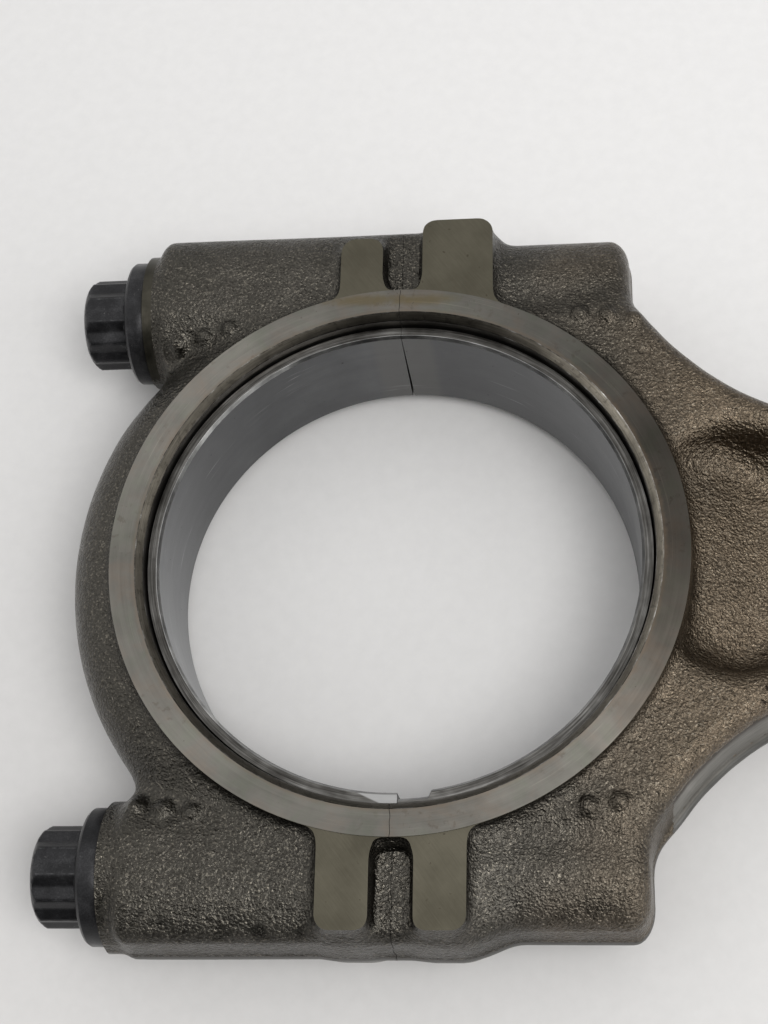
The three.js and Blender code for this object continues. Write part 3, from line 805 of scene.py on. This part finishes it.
def broken_face():
    m = Nodes("broken_face")
    g = m.noise(2.2, 4, 0.7)
    c = m.voronoi(1.8, "F1")
    base = m.ramp(g, [(0.3, (0.16, 0.155, 0.15)), (0.55, (0.30, 0.29, 0.28)), (0.7, (0.52, 0.51, 0.49))])
    n = m.bump(c, 0.16, 1.0)
    return m.done(base, 0.42, 1.0, m.bump(g, 0.08, 1.0, n))


def turned_steel():
    m = Nodes("turned_seat")
    y = m.math("ABSOLUTE", m.Y)
    dy = m.math("SUBTRACT", y, BOLT_Y)
    r = m.math("SQRT", m.math("ADD", m.math("MULTIPLY", dy, dy), m.math("MULTIPLY", m.Z, m.Z)))
    rings = m.noise(3.2, 2, 0.6, 0.0, m.combine(r, m.math("MULTIPLY", m.X, 1.0), 0.0))
    cloud = m.noise(0.3, 3)
    base = m.ramp(cloud, [(0.3, (0.040, 0.038, 0.030)), (0.7, (0.072, 0.067, 0.054))])
    return m.done(base, m.span(cloud, 0.3, 0.7, 0.36, 0.46), 1.0, m.bump(rings, 0.02))


def shell_back():
    m = Nodes("shell_back_steel")
    ang = m.math("ARCTAN2", m.Y, m.X)
    r = m.radius()
    swirl = m.combine(m.math("MULTIPLY", r, 1.0), m.math("MULTIPLY", ang, 0.9), m.math("MULTIPLY", m.Z, 0.15))
    lines = m.noise(3.2, 3, 0.75, 0.0, swirl)
    blot = m.noise(0.16, 3, 0.6)
    base = m.ramp(m.math("ADD", m.math("MULTIPLY", blot, 0.35), m.math("MULTIPLY", lines, 0.65)),
                  [(0.36, (0.030, 0.028, 0.026)), (0.47, (0.080, 0.077, 0.072)), (0.56, (0.145, 0.141, 0.134)), (0.68, (0.30, 0.295, 0.285))])
    # bare patch beside the lower joint of the cap shell
    patch = m.math("MULTIPLY", m.span(m.Y, -38.0, -42.0), m.span(m.math("ADD", m.X, m.math("MULTIPLY", m.math("SUBTRACT", r, 45.5), -2.6)), -6.6, -5.8))
    patch = m.math("MULTIPLY", patch, m.math("MULTIPLY", m.span(m.X, 0.95, 0.85), m.span(m.Z, 12.0, 12.6)))
    base = m.mix(m.math("MULTIPLY", patch, 0.85), base, (0.40, 0.40, 0.40))
    return m.done(base, m.span(blot, 0.3, 0.7, 0.30, 0.42), 1.0, m.bump(lines, 0.03))


def shell_chamfer():
    m = Nodes("shell_chamfer")
    wear = m.noise(0.14, 3, 0.6)
    base = m.ramp(wear, [(0.32, (0.16, 0.16, 0.16)), (0.5, (0.36, 0.36, 0.355)), (0.7, (0.66, 0.66, 0.65))])
    # painted light with some oil: lighter toward the far left as if lit, darker toward the near right
    side = m.math("ADD", m.math("MULTIPLY", m.Y, 0.75), m.math("MULTIPLY", m.X, -0.66))
    base = m.mix(1.0, base, m.mix(m.span(side, -34.0, 26.0), (0.38, 0.38, 0.38), (1.15, 1.15, 1.15)), "MULTIPLY")
    return m.done(base, 0.28, 1.0, m.bump(m.noise(3.0, 2), 0.006))


def lining():
    m = Nodes("bearing_lining")
    ang = m.math("ARCTAN2", m.Y, m.X)
    swirl = m.combine(m.math("MULTIPLY", m.Z, 1.0), m.math("MULTIPLY", ang, 3.0), 0.0)
    bored = m.noise(4.0, 3, 0.7, 0.0, swirl)
    bands = m.noise(0.40, 2, 0.5, 0.0, m.combine(m.Z, m.math("MULTIPLY", ang, 2.0), 0.0))
    cloud = m.noise(0.09, 4, 0.6)
    tone = m.math("ADD", m.math("MULTIPLY", cloud, 0.75), m.math("ADD", m.math("MULTIPLY", bands, 0.15), m.math("MULTIPLY", bored, 0.10)))
    base = m.ramp(tone, [(0.34, (0.125, 0.128, 0.132)), (0.5, (0.165, 0.168, 0.173)), (0.66, (0.212, 0.216, 0.221))])
    # polished more toward the cap's crown, duller in the quarters; the change round the circle is also painted
    # reflection
    a1 = m.math("DIVIDE", m.math("ADD", ang, math.pi), 2 * math.pi)
    wear = m.ramp(a1, [(0.0, 0.62), (0.06, 0.85), (0.12, 0.80), (0.30, 0.5), (0.5, 0.42), (0.58, 0.44), (0.66, 0.34),
                       (0.72, 0.33), (0.76, 0.40), (0.80, 0.34), (0.86, 0.30), (0.92, 0.36), (1.0, 0.62)])
    base = m.mix(1.0, base, m.vmath("SCALE", wear, scale=2.0), "MULTIPLY")
    # relief beside the joints: browner and a little brighter
    ax = m.math("ADD", m.math("ABSOLUTE", m.X), m.math("MULTIPLY", m.noise(0.35, 2), 0.8))
    base = m.mix(m.span(ax, 7.2, 5.2, 0.0, 0.40), base, (0.165, 0.16, 0.148))
    # bright smears where the journal has run
    sm = m.math("MULTIPLY", m.span(m.noise(0.5, 3, 0.7, 0.0, m.combine(m.math("MULTIPLY", m.Z, 1.6), m.math("MULTIPLY", ang, 3.2), 2.0)), 0.60, 0.70),
                m.span(m.noise(0.05, 2), 0.45, 0.60))
    base = m.mix(m.math("MULTIPLY", sm, 0.35), base, (0.62, 0.62, 0.62))
    pits = m.span(m.noise(1.1, 2), 0.73, 0.76)
    base = m.mix(m.math("MULTIPLY", pits, 0.8), base, (0.03, 0.028, 0.027))
    rough = m.span(cloud, 0.3, 0.7, 0.32, 0.44)
    n = m.bump(bored, 0.005, 1.0)
    n = m.bump(bands, 0.012, 1.0, n)
    return m.done(base, rough, 1.0, n)


def black_bolt():
    m = Nodes("black_phosphate")
    fine = m.noise(3.6, 3, 0.6)
    cloud = m.noise(0.22, 4, 0.6)
    base = m.ramp(m.math("ADD", m.math("MULTIPLY", cloud, 0.6), m.math("MULTIPLY", fine, 0.4)),
                  [(0.36, (0.010, 0.010, 0.011)), (0.52, (0.022, 0.022, 0.024)), (0.68, (0.050, 0.050, 0.053))])
    # coating rubbed thin in places
    rub = m.span(m.noise(0.9, 4, 0.7), 0.66, 0.74)
    base = m.mix(m.math("MULTIPLY", rub, 0.5), base, (0.20, 0.195, 0.19))
    dy = m.math("SUBTRACT", m.math("ABSOLUTE", m.Y), BOLT_Y)
    r = m.math("SQRT", m.math("ADD", m.math("MULTIPLY", dy, dy), m.math("MULTIPLY", m.Z, m.Z)))
    # painted highlight on the twelve corners of the head
    painted_tip_highlight = m.math("MULTIPLY", m.span(m.math("ADD", r, m.math("MULTIPLY", m.noise(0.8, 2), 0.16)), HEAD_R - 0.10, HEAD_R + 0.02), m.span(m.X, SEAT_X - 4.0, SEAT_X - 4.6))
    base = m.mix(m.math("MULTIPLY", painted_tip_highlight, 0.65), base, (0.17, 0.172, 0.178))
    rough = m.span(cloud, 0.3, 0.7, 0.28, 0.42)
    return m.done(base, rough, 0.65, m.bump(fine, 0.014))


def bronze():
    m = Nodes("bush_bronze")
    r = m.radius(CENTRES, 0.0)
    ang = m.math("ARCTAN2", m.Y, m.math("SUBTRACT", m.X, CENTRES))
    lines = m.noise(4.5, 3, 0.65, 0.0, m.combine(m.math("ADD", r, m.Z), m.math("MULTIPLY", ang, 2.0), m.math("MULTIPLY", r, 0.5)))
    cloud = m.noise(0.12, 4, 0.6)
    base = m.ramp(m.math("ADD", m.math("MULTIPLY", cloud, 0.6), m.math("MULTIPLY", lines, 0.4)),
                  [(0.35, (0.34, 0.215, 0.095)), (0.52, (0.47, 0.31, 0.145)), (0.68, (0.60, 0.42, 0.215))])
    return m.done(base, m.span(cloud, 0.3, 0.7, 0.26, 0.38), 1.0, m.bump(lines, 0.012))


# ---------------------------------------------------------------------------
# The forged rod and cap
# ---------------------------------------------------------------------------
def build_forging():
    h = 0.78
    xs = grid_axis([(-66.5, 76, h), (76, 214, 1.7), (214, 298, 1.3)])
    ys = grid_axis([(-76, 76, h)])
    zs = grid_axis([(-19.8, -2.4, h), (-2.4, 2.4, 0.4), (2.4, 19.8, h)])
    field = forging(xs[:, None, None], ys[None, :, None], zs[None, None, :])
    v, q = surface(field, xs, ys, zs, forging)
    blank = new_object("forging_blank", v, q)
    # ground faces: both sides of the two eyes, and the pads a little lower
    boolean(blank, *box_mesh(-90, 330, -90, 90, -HALF_W, HALF_W), op="INTERSECT")
    for s in (1, -1):
        prof = [(RING_R, PAD_TOP), (86, PAD_TOP), (86, 21), (RING_R, 21)]
        if s < 0:
            prof = [(r, -z) for r, z in reversed(prof)]
        boolean(blank, *revolve_z(prof, 288))
    # bolt seats
    for s in (1, -1):
        boolean(blank, *box_mesh(-80, SEAT_X, min(40 * s, 82 * s), max(40 * s, 82 * s), -21, 21))
    # big-end bore with its chamfers
    c = HALF_W - (CHAMFER_R - HOUSING_R)
    prof = [(CHAMFER_R + 0.12, -20), (CHAMFER_R + 0.12, -HALF_W), (CHAMFER_R - 0.06, -HALF_W + 0.12),
            (HOUSING_R + 0.10, -c - 0.02), (HOUSING_R, -c + 0.14), (HOUSING_R, c - 0.14), (HOUSING_R + 0.10, c + 0.02),
            (CHAMFER_R - 0.06, HALF_W - 0.12), (CHAMFER_R + 0.12, HALF_W), (CHAMFER_R + 0.12, 20)]
    boolean(blank, *spindle_z(prof, 320))
    # small-end bore
    c = HALF_W - 0.9
    prof = [(PIN_HOUSING_R + 0.9, -20), (PIN_HOUSING_R + 0.9, -HALF_W), (PIN_HOUSING_R, -c),
            (PIN_HOUSING_R, c), (PIN_HOUSING_R + 0.9, HALF_W), (PIN_HOUSING_R + 0.9, 20)]
    boolean(blank, *spindle_z(prof, 224, CENTRES))
    # oil hole through the small-end crown
    boolean(blank, *spindle_x([(CENTRES + 20, 2.5), (CENTRES + EYE_R - 1.0, 2.5), (CENTRES + EYE_R + 3.5, 7.0)], 40, 0.0))
    # bolt holes, opened out a little at the seat and at the split
    for s in (1, -1):
        boolean(blank, *spindle_x([(-58, HOLE_R + 0.8), (SEAT_X, HOLE_R + 0.8), (SEAT_X + 0.8, HOLE_R), (-1.0, HOLE_R),
                                   (0.0, HOLE_R + 0.7), (1.0, HOLE_R), (40, HOLE_R), (43.5, 0.6)], 64, BOLT_Y * s))
    # notches for the shells' locating lips, at the lower joint
    boolean(blank, *box_mesh(0.0, 7.2, -49.0, -44.0, 4.4, 13.4))
    boolean(blank, *box_mesh(-7.2, 0.0, -49.0, -44.0, -13.4, -4.4))
    # break it along the joint
    rod = copy_object(blank, "rod_forging")
    boolean(rod, *crack_cutter(1, 0.05), op="INTERSECT")
    cap = blank
    cap.name = "cap_forging"
    boolean(cap, *crack_cutter(-1, 0.05), op="INTERSECT")
    return rod, cap


def paint_forging(ob, mats):
    c, n = face_data(ob)
    x, y, z = c.T
    r = np.hypot(x, y)
    rs = np.hypot(x - CENTRES, y)
    index = np.zeros(len(c), int)
    flat = np.abs(n[:, 2]) > 0.995
    index[flat & (np.abs(z) > HALF_W - 0.02) & (r < 60)] = 1
    index[flat & (np.abs(z) > HALF_W - 0.02) & (rs < 45)] = 2
    index[flat & (np.abs(np.abs(z) - PAD_TOP) < 0.02)] = 3
    radial = (n[:, 0] * x + n[:, 1] * y) / np.maximum(r, 1) < -0.3
    bore = (r < CHAMFER_R + 0.15) & radial
    index[bore & (np.abs(n[:, 2]) < 0.2)] = 4
    index[bore & (np.abs(n[:, 2]) >= 0.2)] = 5
    edge = bore & (((r > CHAMFER_R - 0.08) & (np.abs(z) > HALF_W - 0.14)) | ((r < HOUSING_R + 0.12) & (np.abs(n[:, 2]) > 0.2)))
    index[edge] = 6
    radial2 = (n[:, 0] * (x - CENTRES) + n[:, 1] * y) / np.maximum(rs, 1) < -0.3
    index[(rs < PIN_HOUSING_R + 1.0) & radial2] = 7
    index[(rs < PIN_HOUSING_R + 1.0) & radial2 & (np.abs(n[:, 2]) > 0.2)] = 6
    index[(x > CENTRES + 15) & (np.hypot(y, z) < 6.5) & ((np.abs(n[:, 0]) < 0.2) | (np.hypot(y, z) > 2.6)) & (np.hypot(y, z) < 5.6)] = 7
    edge2 = polygon_distance(x, y, OUTLINE) + np.abs(z) * 0.13
    flank = (np.abs(n[:, 2]) < 0.30) & (np.abs(z) < 11.0) & (x > 49) & (x < 235) & (edge2 > -1.1)
    flank |= (np.abs(z) < 2.1) & (x > 49) & (x < 235) & (edge2 > -2.5)
    flank |= (np.abs(n[:, 2]) < 0.35) & (np.abs(z) < 1.45) & (edge2 > -3.0) & (x > SEAT_X + 4) & (x < 50) & (np.abs(y) > 52)
    index[flank & (index == 0)] = 9
    ra = np.hypot(np.abs(y) - BOLT_Y, z)
    index[(x < SEAT_X + 0.05) & (n[:, 0] < -0.99) & (ra < 16)] = 7
    index[(y > 0) & (x < SEAT_X + 2.0) & (ra > 12.6) & (ra < SEAT_R + 0.1) & (np.abs(n[:, 0]) < 0.35)] = 7
    index[(ra < HOLE_R + 0.9) & (x < 44) & (np.abs(n[:, 0]) < 0.95) & (x > SEAT_X - 0.1)] = 7
    index[(np.abs(x) < 0.75) & (np.abs(n[:, 0]) > 0.45) & (r > 46) & (r < 80) & (index != 3) & (index != 1)] = 8
    paint(ob, mats, index)


# ---------------------------------------------------------------------------
# Bearing shells
# ---------------------------------------------------------------------------
LOW_JOINT = 1.1


def shell_half(name, side, r0, r1, chamfer_in, chamfer_out, split=0.05):
    """Half ring from r0 to r1 on side +1 (rod) or -1 (cap), with its locating lip at the lower joint."""
    a_end = math.degrees(math.asin(split / r0))
    step = 1.0
    a = np.unique(np.concatenate([np.arange(0, 10.01, 0.4), np.arange(10, 170.01, step), np.arange(170, 180.01, 1.0)]))
    # lower joint first; it sits LOW_JOINT degrees round toward the rod
    a = a_end + a / 180 * (180 - side * LOW_JOINT - 2 * a_end)
    ang = -90 + LOW_JOINT + side * a
    zl = np.unique(np.round(np.concatenate([np.arange(-12.4, 12.41, 1.24), [4.4, 4.8, 5.2, -4.4, -4.8, -5.2]]), 3))
    ch, co = chamfer_in, chamfer_out
    prof = [(r1, z) for z in zl] + [(r1 - co, SHELL_HALF)] + [(r0 + ch, SHELL_HALF)]
    prof += [(r0, z) for z in zl[::-1]] + [(r0 + ch, -SHELL_HALF), (r1 - co, -SHELL_HALF)]
    prof = np.array(prof)
    n = len(prof)
    R, Z = prof[:, 0], prof[:, 1]
    v = []
    last = len(ang) - 1
    for j, t in enumerate(np.radians(ang)):
        x_mm = abs(45.5 * math.cos(t))
        near = step01(np.array(x_mm), 7.0, 6.1) if math.sin(t) < 0 else 0.0
        # the lip stays on its own side of the crack, where its notch is
        near = near * step01(side * 45.5 * math.cos(t), 0.15, 0.55)
        lip = step01(Z * side, 4.4, 5.2) * near * 1.12
        Rr = R + lip
        ring = np.stack([Rr * math.cos(t), Rr * math.sin(t), Z], 1)
        if j == last:
            # the shells no longer quite meet at the top joint: the gap opens toward the far edge
            ring[:, 0] = side * (0.04 + 0.22 * (SHELL_HALF - Z) / (2 * SHELL_HALF))
        v.append(ring)
    v = np.vstack(v)
    f = []
    m = len(ang)
    for j in range(m - 1):
        for i in range(n):
            k = (i + 1) % n
            q = (j * n + i, (j + 1) * n + i, (j + 1) * n + k, j * n + k)
            f.append(q if side > 0 else q[::-1])
    # joint faces, as strips between the outer and inner walls
    L = len(zl)
    outer = list(range(0, L)) + [L]
    inner = list(range(2 * L + 1, L + 1, -1)) + [L + 1]
    lo_out, lo_in = 2 * L + 3, 2 * L + 2
    outer = [lo_out] + outer
    inner = [lo_in] + inner
    for base, flip in ((0, side < 0), ((m - 1) * n, side > 0)):
        for p in range(len(outer) - 1):
            q = (base + outer[p], base + outer[p + 1], base + inner[p + 1], base + inner[p])
            f.append(q[::-1] if flip else q)
    ob = new_object(name, v, f)
    return ob


def paint_shell(ob, body_mat, chamfer_mat, inner_r, kind):
    c, n = face_data(ob)
    r = np.hypot(c[:, 0], c[:, 1])
    radial = (n[:, 0] * c[:, 0] + n[:, 1] * c[:, 1]) / np.maximum(r, 1)
    index = np.zeros(len(c), int)
    if kind == "lining":
        index[(np.abs(n[:, 2]) > 0.3) & (np.abs(c[:, 2]) > 12.3)] = 1
    paint(ob, [body_mat, chamfer_mat], index)


# ---------------------------------------------------------------------------
# Twelve-point flange bolts
# ---------------------------------------------------------------------------
def star(angle, r):
    """Twelve-point outline: two hexagons turned 30 degrees, corners at radius r, slightly rounded."""
    a = (angle + math.radians(15)) % math.radians(30) - math.radians(15)      # from the nearest corner
    flat = r * math.cos(math.radians(30))
    p = flat / math.cos(math.radians(30) - abs(a))
    return min(p, r * 0.985)


def build_bolt(name, y0, turn):
    flange_top = SEAT_X - FLANGE_T
    seg = 144
    prof = []
    # head, from its crown to the flange
    for x, r in ((0.0, 3.0), (0.05, 5.0), (0.16, 6.6), (0.34, 7.5), (0.62, 8.05), (1.0, 8.55), (1.4, 8.95), (1.8, 9.25), (2.1, 9.6)):
        prof.append((HEAD_END + x, r))
    depth = flange_top - HEAD_END
    for x in (3.2, 5.0, 7.0, depth - 0.9):
        prof.append((HEAD_END + x, 20.0))
    head_n = len(prof)
    # fillet and flange
    prof += [(flange_top - 0.35, 9.2 + 0.3), (flange_top - 0.08, 9.9), (flange_top, 10.5), (flange_top + 0.12, 11.5),
             (flange_top + 0.45, 12.15), (flange_top + 0.95, FLANGE_R), (flange_top + 2.2, FLANGE_R), (SEAT_X - 0.55, FLANGE_R),
             (SEAT_X - 0.15, FLANGE_R - 0.18), (SEAT_X - 0.02, FLANGE_R - 0.5), (SEAT_X - 0.02, 8.4), (SEAT_X + 0.0, 7.5),
             (SEAT_X + 0.4, 7.15), (SEAT_X + 1.2, 7.0), (SEAT_X + 9.0, 7.0), (SEAT_X + 10.4, 6.2), (4.0, 6.2), (5.2, 6.35)]
    t0, t1, pitch = 6.0, BOLT_END - 1.6, 1.5
    steps = int((t1 - t0) / pitch * (8))
    for i in range(steps + 1):
        prof.append((t0 + (t1 - t0) * i / steps, -1.0))       # threaded stretch
    prof += [(BOLT_END - 1.2, 5.95), (BOLT_END - 0.3, 5.2), (BOLT_END, 4.6)]

    def rfun(x, r, a):
        if r < 0:
            ph = ((x - t0) / pitch - a / (2 * math.pi)) % 1.0
            tri = abs(ph - 0.5) * 2
            tri = min(max((tri - 0.12) / 0.76, 0), 1)
            fade = min(1.0, (x - t0) / 1.5, (t1 - x) / 1.0 + 0.15)
            return 6.12 + (6.97 - 6.12) * (tri * fade + (1 - fade) * 0.25)
        if x < flange_top - 0.5:
            return min(r, star(a + turn, HEAD_R))
        if x < flange_top - 0.2:
            return max(star(a + turn, HEAD_R), r - 0.4)
        return r
    v, f = spindle_x(prof, seg, y0, 0.0, rfun)
    ob = new_object(name, v, f)
    finish_mesh(ob, 30)
    return ob


# ---------------------------------------------------------------------------
# Small-end bush
# ---------------------------------------------------------------------------
def build_bush():
    c = 0.9
    h = BUSH_HALF
    prof = [(BUSH_IN + c, -h), (BUSH_OUT - 0.5, -h), (BUSH_OUT, -h + 0.5), (BUSH_OUT, h - 0.5), (BUSH_OUT - 0.5, h),
            (BUSH_IN + c, h), (BUSH_IN + 0.08, h - c + 0.02), (BUSH_IN, h - c - 0.15), (BUSH_IN, 0), (BUSH_IN, -h + c + 0.15), (BUSH_IN + 0.08, -h + c - 0.02)]
    v, f = revolve_z(prof, 224, CENTRES)
    ob = new_object("bush_bronze_ring", v, f)
    boolean(ob, *spindle_x([(CENTRES + 15, 2.3), (CENTRES + 34, 2.3)], 40, 0.0))
    finish_mesh(ob, 28)
    return ob


# ---------------------------------------------------------------------------
# Put it together
# ---------------------------------------------------------------------------
skin = forged_skin()
ring = ground_face("ground_thrust_face", 0.0, (0.176, 0.168, 0.151))
eye = ground_face("ground_eye_face", CENTRES, (0.180, 0.168, 0.150), stains_and_painted_light=False)
pad = pad_face()
wall = oiled_bore("housing_wall", (0.110, 0.104, 0.096), 0.36, 0.25)
chamfer = oiled_bore("housing_chamfer", (0.165, 0.150, 0.124), 0.38, 0.30, True)
edge_wear_and_light = bright_edge()
turned = turned_steel()
broken = broken_face()
sheared = sheared_flank()
back_mat = shell_back()
back_bright = shell_chamfer()
lining_mat = lining()
bolt_mat = black_bolt()
bush_mat = bronze()

rod, cap = build_forging()
for ob, body, node in ((rod, "rod", "connecting_rod"), (cap, "cap", "bearing_cap")):
    paint_forging(ob, [skin, ring, eye, pad, wall, chamfer, edge_wear_and_light, turned, broken, sheared])
    finish_mesh(ob, 30)
    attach(ob, body)
    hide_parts(node)

for side, body, prefix in ((1, "rod", "rod"), (-1, "cap", "cap")):
    back = shell_half(f"{prefix}_shell_steel", side, SHELL_MID, SHELL_OUT, 0.0, 0.35)
    paint_shell(back, back_mat, back_bright, SHELL_MID, "back")
    finish_mesh(back, 28)
    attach(back, body)
    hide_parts(f"{prefix}_shell_back")
    lin = shell_half(f"{prefix}_shell_alloy", side, SHELL_IN, SHELL_MID, 0.42, 0.0)
    paint_shell(lin, lining_mat, back_bright, SHELL_IN, "lining")
    finish_mesh(lin, 28)
    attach(lin, body)
    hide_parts(f"{prefix}_shell_lining")

for sign, side_name in ((1, "left"), (-1, "right")):
    bolt = build_bolt(f"bolt_{side_name}_black", BOLT_Y * sign, 0.13 * sign)
    paint(bolt, [bolt_mat], np.zeros(len(bolt.data.polygons), int))
    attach(bolt, f"bolt_{side_name}")
    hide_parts(f"cap_bolt_{side_name}")

bush = build_bush()
paint(bush, [bush_mat], np.zeros(len(bush.data.polygons), int))
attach(bush, "rod")
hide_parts("small_end_bush")


# ---------------------------------------------------------------------------
# Floor, lights and camera
# ---------------------------------------------------------------------------
def floor_material():
    m = Nodes("floor_paper")
    n = m.noise(0.35, 3, 0.6)
    base = m.ramp(n, [(0.3, (0.80, 0.80, 0.805)), (0.7, (0.83, 0.83, 0.835))])
    # painted shade: the sheet is darkened toward the near left corner
    u = m.math("DIVIDE", m.math("ADD", m.math("ADD", m.Y, m.math("MULTIPLY", m.X, 0.45)), 420.0), 640.0)
    shade = m.ramp(u, [(0.0, (0.66, 0.652, 0.645)), (0.44, (0.71, 0.70, 0.692)), (0.66, (0.83, 0.825, 0.82)), (1.0, (0.915, 0.91, 0.908))])
    base = m.mix(1.0, base, shade, "MULTIPLY")
    return m.done(base, 0.75, 0.0, m.bump(n, 0.02))


def build_floor():
    n = 8
    g = np.linspace(-7000, 7000, n + 1)
    v = [(x, y, -HALF_W - 0.05) for x in g for y in g]
    f = [(i * (n + 1) + j, (i + 1) * (n + 1) + j, (i + 1) * (n + 1) + j + 1, i * (n + 1) + j + 1) for i in range(n) for j in range(n)]
    ob = new_object("floor_sheet", v, f)
    paint(ob, [floor_material()], np.zeros(len(ob.data.polygons), int))
    return ob


build_floor()

world = bpy.data.worlds.new("room")
bpy.context.scene.world = world
world.use_nodes = True
wn = world.node_tree
bg = wn.nodes["Background"]
tc = wn.nodes.new("ShaderNodeTexCoord")
level = None


def world_lobe(centre, lo, hi, gain):
    """Add a soft patch to the room: gain where the direction is close to centre, nothing away from it."""
    global level
    c = Vector(centre).normalized()
    dot = wn.nodes.new("ShaderNodeVectorMath"); dot.operation = "DOT_PRODUCT"
    wn.links.new(tc.outputs["Generated"], dot.inputs[0])
    dot.inputs[1].default_value = c
    span = wn.nodes.new("ShaderNodeMapRange"); span.interpolation_type = "SMOOTHSTEP"
    wn.links.new(dot.outputs["Value"], span.inputs["Value"])
    for key, val in (("From Min", lo), ("From Max", hi), ("To Min", 0.0), ("To Max", gain)):
        span.inputs[key].default_value = val
    if level is None:
        level = span.outputs["Result"]
        return
    add = wn.nodes.new("ShaderNodeMath"); add.operation = "ADD"
    wn.links.new(level, add.inputs[0]); wn.links.new(span.outputs["Result"], add.inputs[1])
    level = add.outputs[0]


world_lobe((0, 0, 1), -1.0, 1.0, 1.02)                   # ceiling brighter than walls
world_lobe((0.0, -0.95, 0.22), 0.38, 0.80, -0.74)        # dark where the viewer stands
world_lobe((-1.0, 0.0, 0.25), 0.50, 0.95, 0.14)         # a little more from the left
world_lobe((0.68, 0.68, 0.22), 0.45, 0.90, -0.34)        # dim corner
world_lobe((0.85, -0.44, 0.28), 0.80, 0.97, 1.55)        # window low on the right
top = wn.nodes.new("ShaderNodeMath"); top.operation = "MAXIMUM"
wn.links.new(level, top.inputs[0]); top.inputs[1].default_value = 0.03
wn.links.new(top.outputs[0], bg.inputs["Strength"])
bg.inputs["Color"].default_value = (1.0, 0.995, 0.985, 1)


def area(name, loc_mm, aim_mm, size, energy, color=(1, 1, 1), size_y=None):
    data = bpy.data.lights.new(name, "AREA")
    data.energy = energy
    data.color = color
    if size_y:
        data.shape = "RECTANGLE"
        data.size, data.size_y = size, size_y
    else:
        data.shape = "SQUARE"
        data.size = size
    ob = bpy.data.objects.new(name, data)
    bpy.context.scene.collection.objects.link(ob)
    loc = Vector(put(loc_mm))
    ob.location = loc
    ob.rotation_euler = (Vector(put(aim_mm)) - loc).to_track_quat("-Z", "Y").to_euler()
    return ob


area("overhead", (330, -300, 800), (20, 0, 0), 0.42, 4.2, (1.0, 0.99, 0.97))

cam_data = bpy.data.cameras.new("camera")
cam_data.sensor_fit = "AUTO"
cam_data.sensor_width = 36.0
cam_data.lens = 1770.01 * 36.0 / 1024.0
cam_data.clip_start = 0.01
cam_data.clip_end = 20.0
cam = bpy.data.objects.new("camera", cam_data)
bpy.context.scene.collection.objects.link(cam)
right = Vector((0.99315248, 0.02075494, -0.11496689))
down = Vector((-0.02485723, -0.92401639, -0.381544))
ahead = Vector((-0.11415021, 0.38178913, -0.91717326))
rot = Matrix((right, -down, -ahead)).transposed().to_4x4()
cam.matrix_world = Matrix.Translation(Vector(put((35.2547, -118.2628, 317.005)))) @ rot
bpy.context.scene.camera = cam
bpy.context.scene.view_settings.view_transform = "Standard"
